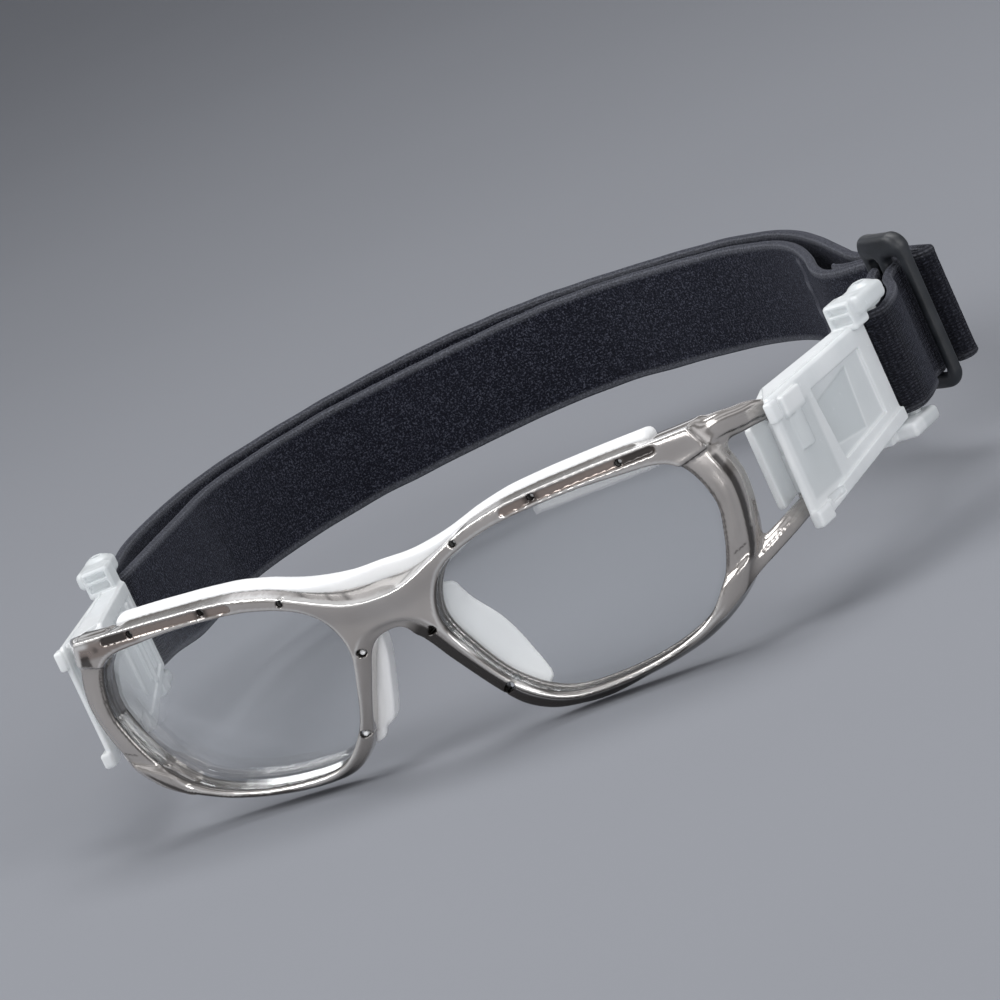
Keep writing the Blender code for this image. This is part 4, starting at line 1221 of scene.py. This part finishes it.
def rod_object(name, x, y, low, high, radius, bevel, material, sides=48):
    """Upright rod with rounded ends."""
    turn = np.linspace(0, 2 * np.pi, sides, endpoint=False)
    ends = ((radius - bevel, 0), (radius - bevel * 0.3, bevel * 0.3), (radius, bevel))
    rings = [(r, low + rise) for r, rise in ends]
    rings += [(radius, z) for z in np.linspace(low + bevel, high - bevel, 12)[1:-1]]
    rings += [(r, high - rise) for r, rise in ends[::-1]]
    points = np.vstack(
        [[[x, y, low]]]
        + [np.stack([x + r * np.cos(turn), y + r * np.sin(turn), np.full(sides, z)], 1)
           for r, z in rings]
        + [[[x, y, high]]])
    pairs = [(i, (i + 1) % sides) for i in range(sides)]
    faces = [(0, 1 + b, 1 + a) for a, b in pairs]
    for k in range(len(rings) - 1):
        this, above = 1 + k * sides, 1 + (k + 1) * sides
        faces += [(this + a, this + b, above + b, above + a) for a, b in pairs]
    last = 1 + (len(rings) - 1) * sides
    faces += [(last + a, last + b, last + sides) for a, b in pairs]
    obj = poly_object(name, points, faces, material)
    obj.data.set_sharp_from_angle(angle=math.radians(35))
    return obj


for side, s in SIDES:
    pin = rod_object("swivel_pin_" + side, s * HX, HY, LOWER_LUG[0] + 0.1, UPPER_LUG[1] - 0.1,
                     PIN_R, 0.2, STEEL)
    register(pin, "frame", "pin", "hinge_pin_" + side)
    bar = rod_object("bar_rod_" + side, s * BAR_XY[0], BAR_XY[1], -13.6, 13.2,
                     BAR_R, 0.25, MILKY)
    register(bar, "clip_" + side, "clip_plastic", "strap_bar_" + side)

# ============================================================ strap: plan lines
# the inner and outer layers, from the right side round the back to the left: x, y
INNER_PATH = (
    (-80.5, 79), (-81.6, 98), (-82.3, 110), (-80, 121.5), (-74.5, 134.5), (-67, 146),
    (-58, 153.8), (-50, 159.6), (-42, 164.8), (-32, 170), (-21, 172.8), (-10, 172.2),
    (4, 168.4), (17, 163.7), (27, 158), (36, 150.4), (43.4, 140.6), (50, 127.5), (55.2, 115),
    (59.9, 106.6), (65.4, 100.6), (70.6, 96.9),
)
OUTER_PATH = (
    (-88, 79), (-90.6, 92), (-91.2, 108), (-89.6, 124), (-85.4, 137), (-79, 149),
    (-71, 160), (-62, 169.5), (-52, 176.3), (-42, 180.2), (-31, 181.8), (-19, 181.2),
    (-6, 178.4), (8, 174.8), (20, 169.8), (30.5, 162.8), (40, 153), (48.5, 140.2),
    (56, 127.2), (63.0, 115.0),
)
INNER_LINE, _ = spline(INNER_PATH, 84)
OUTER_LINE, _ = spline(OUTER_PATH, 84)
# where the right loop ends and the left lengths begin
SEAM_IN = int(np.argmin(np.hypot(INNER_LINE[:, 0] + 22, INNER_LINE[:, 1] - 172.8)))
SEAM_OUT = int(np.argmin(np.hypot(OUTER_LINE[:, 0] + 20, OUTER_LINE[:, 1] - 181.2)))
SLIDER_ALONG = np.array(SLIDER_WAY) / np.linalg.norm(SLIDER_WAY)
SLIDER_OUT = np.array([-SLIDER_ALONG[1], SLIDER_ALONG[0]])


def by_slider(*points):
    """Plan points from the slider's own axes."""
    q = np.array(points, float)
    return np.array(SLIDER_AT) + q[:, :1] * SLIDER_ALONG + q[:, 1:] * SLIDER_OUT


def arc(centre, radius, degrees):
    t = np.radians(degrees)
    return np.stack([centre[0] + radius * np.cos(t), centre[1] + radius * np.sin(t)], 1)


BX = BAR_XY[0]
ROUND_BAR = np.linspace(5, -185, 9)
RIGHT_LOOP = np.vstack([
    OUTER_LINE[2:SEAM_OUT + 1][::-1],
    [(-BX - 3.9, 72.5), (-BX - 3.0, 67.0)],
    arc(BAR_XY, 2.25, ROUND_BAR) * [-1, 1],
    [(-BX + 2.2, 67.0), (-BX + 1.9, 73.0)],
    INNER_LINE[1:SEAM_IN + 1],
])
INNER_LEFT = np.vstack([
    INNER_LINE[SEAM_IN:-1],
    by_slider((-7.0, 2.6), (-3.2, 2.6), (0.0, 2.25), (2.0, 0.4), (3.3, -2.2)),
    [(BX - 1.5, 80.0), (BX + 0.4, 75.5), (BX + 1.7, 70.5), (BX + 2.35, 66.0)],
    arc(BAR_XY, 2.3, ROUND_BAR),
    [(BX - 2.5, 66.0), (BX - 3.2, 71.0), (BX - 4.4, 76.5)],
    by_slider((0.2, -4.2), (-1.2, -2.2)),
])
OUTER_LEFT = np.vstack([
    OUTER_LINE[SEAM_OUT:],
    [(68.6, 107.8)],
    by_slider((-9.5, 8.9), (-4.0, 8.75)),
    by_slider(*arc((1.0, 7.0), 1.75, (80, 55, 30, 0, -30, -55, -80))),
    by_slider((-4.0, 5.3), (-9.5, 5.25), (-15.0, 5.4)),
    [(64.6, 105.0), (61.4, 108.6)],
])


# ============================================================ strap: bands
def wobble(s, seed, scale):
    return sum(math.cos(0.7 * k + seed) * np.sin(s * scale * (0.6 + 0.47 * k) + seed * k)
               for k in range(1, 5)) / 3


def section_rows(face_count=22, turn_count=6):
    """Round the band's section: side (1 to -1), height (-1 to 1), and 1 on the rounded edges."""
    face = 0.93  # share of the half height that is flat
    steps = np.linspace(-1, 1, face_count)
    turn = np.linspace(0, math.pi, turn_count + 2)[1:-1]
    lower = np.linspace(math.pi, 2 * math.pi, turn_count + 2)[1:-1]
    rows = [(1.0, q * face, 0) for q in steps]
    rows += [(math.cos(q), face + 0.07 * math.sin(q), 1) for q in turn]
    rows += [(-1.0, q * face, 0) for q in steps[::-1]]
    rows += [(math.cos(q), -face + 0.07 * math.sin(q), 1) for q in lower]
    return rows


def strip(plan, lift, tack, free_end):
    """Elastic band standing on edge: points, quads, attributes and UVs."""
    _, length = spline(plan, 10)
    n = int(length / (0.55))
    line, length = spline(plan, n)
    x, y = line.T
    s = np.linspace(0, length, n + 1)
    way = np.gradient(line, axis=0)
    way /= np.linalg.norm(way, axis=1)[:, None]
    bend = np.abs(np.gradient(np.unwrap(np.arctan2(way[:, 1], way[:, 0])), s))
    bend = np.convolve(np.pad(bend, 12, "edge"), gaussian(12, 1, 5.0), "valid")
    rib = np.clip(bend / 0.22, 0, 1)
    # waves follow the place, so neighbouring lengths agree
    w = x * 0.95 + y * 0.32
    # the foot rises near the clips' bars, and the whole band rides up by the slider
    to_bar = np.minimum(np.hypot(x - BX, y - BAR_XY[1]), np.hypot(x + BX, y - BAR_XY[1]))
    near = fade(np.clip(1 - to_bar / 24, 0, 1), 0, 0.8)
    slid = np.exp(-(((x - SLIDER_AT[0] + 4) / 13) ** 2 + ((y - SLIDER_AT[1] - 4) / 13) ** 2))
    z0 = STRAP_BOTTOM + 1.55 * near + 0.10 * wobble(w, 1.3, 0.22) + 0.5 * slid
    z1 = STRAP_TOP + 0.10 * wobble(w, 3.3, 0.25) - 0.15 * near + lift * slid
    half = STRAP_THICK / 2 * (1 + 0.05 * wobble(w, 5.3, 0.3))
    if free_end:  # a cut end thins and frays
        half = half * (1 - 0.35 * fade(s, length - 2.2, length))
        z1 = z1 + 0.25 * wobble(s * 6, 2.0, 1.0) * fade(s, length - 2.0, length)
    stitched = np.zeros(n + 1)
    if tack is not None:
        middle = s[np.argmin(np.hypot(x - tack[0], y - tack[1]))]
        stitched = stripe(s - middle, 2.5, 2.1)
    points, edge, uv, stitch = [], [], [], []
    rows = section_rows()
    for side, v, turned in rows:
        # the selvedge stands a little proud, and the faces carry shallow waves
        waves = 0.05 * (abs(v) < 0.8) * (1 + wobble(w + 3 * v, 1.3 + 9 * v, 0.5)) * 0.5
        swell = 1 + 0.10 * fade(abs(v), 0.84, 0.92) - waves
        offset = side * half * swell + 0.10 * wobble(w + 4 * v, 8.3, 0.12)
        # a row of raised threads on one face
        thread = np.cos(2 * np.pi * v * (z1 - z0) / 2 / 1.15)
        sewn = stitched * (side < -0.5) * float(-0.86 < v < 0.84) * (not turned)
        offset = offset - sewn * (0.22 + 0.16 * thread)
        stitch.append(sewn * (0.35 + 0.65 * fade(thread, -0.2, 0.6)))
        z = (z0 + z1) / 2 + v * (z1 - z0) / 2
        points.append(np.stack([x - way[:, 1] * offset, y + way[:, 0] * offset, z], 1))
        if turned:
            pale = 0.38 if abs(side) < 0.8 else 0.9
        else:
            pale = float(fade(abs(v), 0.90, 0.93)) * 0.9
        edge.append(np.full(n + 1, pale))
        across = (v + 1) / 2 * (STRAP_TOP - STRAP_BOTTOM)
        uv.append(np.stack([s, np.full(n + 1, across)], 1))
    m = len(rows)
    i = np.arange(n)[:, None] * m
    a = np.arange(m)[None, :]
    b = (a + 1) % m
    faces = np.stack([i + m + a, i + m + b, i + b, i + a], 2).reshape(-1, 4)
    # the ends are closed by quads between the two faces
    caps = np.array([(j, j + 1, m - 2 - j, m - 1 - j) for j in range(m // 2 - 1)])
    faces = np.vstack([faces, caps[:, ::-1], n * m + caps])
    attrs = {"edge": np.stack(edge, 1).ravel(), "rib": np.repeat(rib, m),
             "stitch": np.stack(stitch, 1).ravel()}
    return np.stack(points, 1).reshape(-1, 3), faces, attrs, np.stack(uv, 1).reshape(-1, 2)


def band_object(name, plan, stands, lift=1.3, tack=None, free_end=False):
    points, faces, attrs, uv = strip(plan, lift, tack, free_end)
    obj = quad_object(name, points, faces, WEBBING, attrs, uv)
    face_outwards(obj.data)
    obj.data.set_sharp_from_angle(angle=math.radians(62))
    register(obj, None, "webbing", *stands)
    return obj


band = band_object("strap_right_loop", RIGHT_LOOP, ("strap_loop_right",))
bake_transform(band)
band = band_object("strap_inner_band", INNER_LEFT, ("strap_inner_layer", "strap_loop_left"),
                   lift=1.6, tack=(45.5, 137.0))
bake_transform(band)
band = band_object("strap_outer_band", OUTER_LEFT, ("strap_outer_layer", "strap_slider_fold"),
                   free_end=True)
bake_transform(band)


# ============================================================ slider
def rounded_2d(qx, qz, radius):
    outside = np.sqrt(np.maximum(qx, 0) ** 2 + np.maximum(qz, 0) ** 2)
    return outside + np.minimum(np.maximum(qx, qz), 0) - radius


def slider_field(along, out, z):
    """Rounded plate with two upright slots, bowed along its width."""
    half_width, corner = 6.9, 3.4
    middle, half_height = (SLIDER_TOP + SLIDER_BOTTOM) / 2, (SLIDER_TOP - SLIDER_BOTTOM) / 2
    flat = rounded_2d(np.abs(along) - (half_width - corner),
                      np.abs(z - middle) - (half_height - corner), corner)
    for centre in (-3.05, 3.05):
        ends = np.maximum(z - 10.9, SLIDER_BOTTOM + 2.9 + 1.0 - z)
        flat = cut(flat, rounded_2d(np.abs(along - centre) - 0.75, ends, 1.0))
    # round-edged bars: the distance to the nearest edge sets the thickness
    edge = 1.25
    inside = np.clip(-flat, 0, edge)
    full = 0.85 + 0.35 * fade(z, 11.0, 14.0)
    half_thick = 0.35 + full * np.sqrt(np.clip(1 - (1 - inside / edge) ** 2, 0, 1))
    return overlap(flat, (np.abs(out - 0.018 * along * along) - half_thick) * 0.8, 0.3)


points, quads = field_mesh((-7.8, -2.4, -15.6), (7.8, 3.2, 17.6), 0.2,
                           slider_field, rounds=3)
points = np.column_stack([by_slider(*points[:, :2]), points[:, 2]])
slider = quad_object("three_bar_slider", points, quads, BLACK)
register(slider, "slider", "slider_plastic", "strap_slider")


# ============================================================ camera, light and floor
def build_camera():
    turn, tilt, roll = (math.radians(a) for a in (25.5, 11.61, 24.84))
    distance, shift_right, shift_up = 896.3, 20.36, 20.49
    back = np.array([math.sin(turn) * math.cos(tilt), -math.cos(turn) * math.cos(tilt),
                     math.sin(tilt)])
    level = np.array([math.cos(turn), math.sin(turn), 0])
    rise = np.array([-math.sin(turn) * math.sin(tilt), math.cos(turn) * math.sin(tilt),
                     math.cos(tilt)])
    right = math.cos(roll) * level - math.sin(roll) * rise
    up = math.sin(roll) * level + math.cos(roll) * rise
    spot = at(distance * back + shift_right * right + shift_up * up)
    data = bpy.data.cameras.new("camera")
    data.lens, data.sensor_width = 185.5, 36
    data.clip_start, data.clip_end = 0.01, 20
    camera = bpy.data.objects.new("camera", data)
    camera.matrix_world = Matrix((*np.stack([right, up, back, spot], 1).tolist(), (0, 0, 0, 1)))
    bpy.context.scene.collection.objects.link(camera)
    bpy.context.scene.camera = camera
    camera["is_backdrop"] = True


def area_light(name, offset, size, power):
    """Rectangular light aimed at the middle of the goggles; offset and size in metres."""
    data = bpy.data.lights.new(name, "AREA")
    data.shape, data.size, data.size_y = "RECTANGLE", *size
    data.energy, data.color = power, (1, 1, 1)
    obj = bpy.data.objects.new(name, data)
    middle = Vector(at((0, 40, -5)))
    place = middle + Vector(offset)
    obj.location = place
    obj.rotation_euler = (middle - place).to_track_quat("-Z", "Y").to_euler()
    bpy.context.scene.collection.objects.link(obj)
    obj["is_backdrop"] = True


def build_world():
    """Even grey for the eye and diffuse light; glossy rays see dark and bright bands."""
    world = bpy.data.worlds.new("studio")
    bpy.context.scene.world = world
    m = Shader(world, "ShaderNodeOutputWorld")
    place = m.coords("Generated")
    height = m.node("ShaderNodeSeparateXYZ", {"Vector": place}).outputs["Z"]
    soft = m.ramp(height, (0.0, (0.40, 0.41, 0.435)), (0.6, (0.62, 0.63, 0.66)))
    plain = m.shader("Background", {"Color": soft, "Strength": 0.62})
    bands = m.ramp(
        height,
        (0.00, (0.05, 0.05, 0.055)), (0.09, (0.09, 0.09, 0.095)), (0.14, (1.15, 1.16, 1.2)),
        (0.24, (0.95, 0.96, 1.0)), (0.29, (0.05, 0.05, 0.05)), (0.40, (0.04, 0.04, 0.045)),
        (0.48, (0.85, 0.86, 0.9)), (0.66, (0.7, 0.71, 0.74)), (0.74, (0.10, 0.10, 0.11)),
        (0.84, (0.16, 0.16, 0.17)), (0.92, (1.5, 1.5, 1.55)), (1.0, (1.3, 1.3, 1.35)))
    wave = m.node("ShaderNodeTexWave", {"Vector": place, "Scale": 0.55, "Distortion": 0.0},
                  bands_direction="X").outputs["Fac"]
    banded = m.shader("Background", {
        "Color": bands, "Strength": m.linear(wave, gain=0.75, base=0.35)})
    glossy = m.node("ShaderNodeLightPath").outputs["Is Glossy Ray"]
    m.finish(m.mix_shader(glossy, plain, banded))


def build_floor():
    m = new_material("pale_floor")
    base = m.ramp(m.noise(scale=3), (0.3, (0.205, 0.213, 0.234)), (0.7, (0.215, 0.223, 0.245)))
    material = m.finish(m.shader("BsdfPrincipled", {
        "Base Color": base,
        "Roughness": 0.8,
        "Specular IOR Level": 0.2,
        "Normal": m.bump(m.noise(scale=300, detail=2), strength=0.05, distance=0.0005),
    }))
    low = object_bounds()[0][2]
    bpy.ops.mesh.primitive_plane_add(size=30, location=(0, 0, low - 0.0006))
    floor = bpy.context.object
    floor.name = "pale_floor"
    floor.data.materials.append(material)
    floor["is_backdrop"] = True


build_camera()
area_light("key_left", offset=(-0.75, -0.55, 0.85), size=(0.6, 0.8), power=10)
area_light("fill_right", offset=(0.95, -0.45, 0.50), size=(0.4, 0.9), power=5)
area_light("top", offset=(0.1, 0.25, 1.10), size=(0.9, 0.6), power=8)
area_light("front_low", offset=(0.25, -1.1, 0.10), size=(0.9, 0.25), power=4.2)
build_world()
build_floor()
bpy.context.scene.view_settings.view_transform = "Standard"
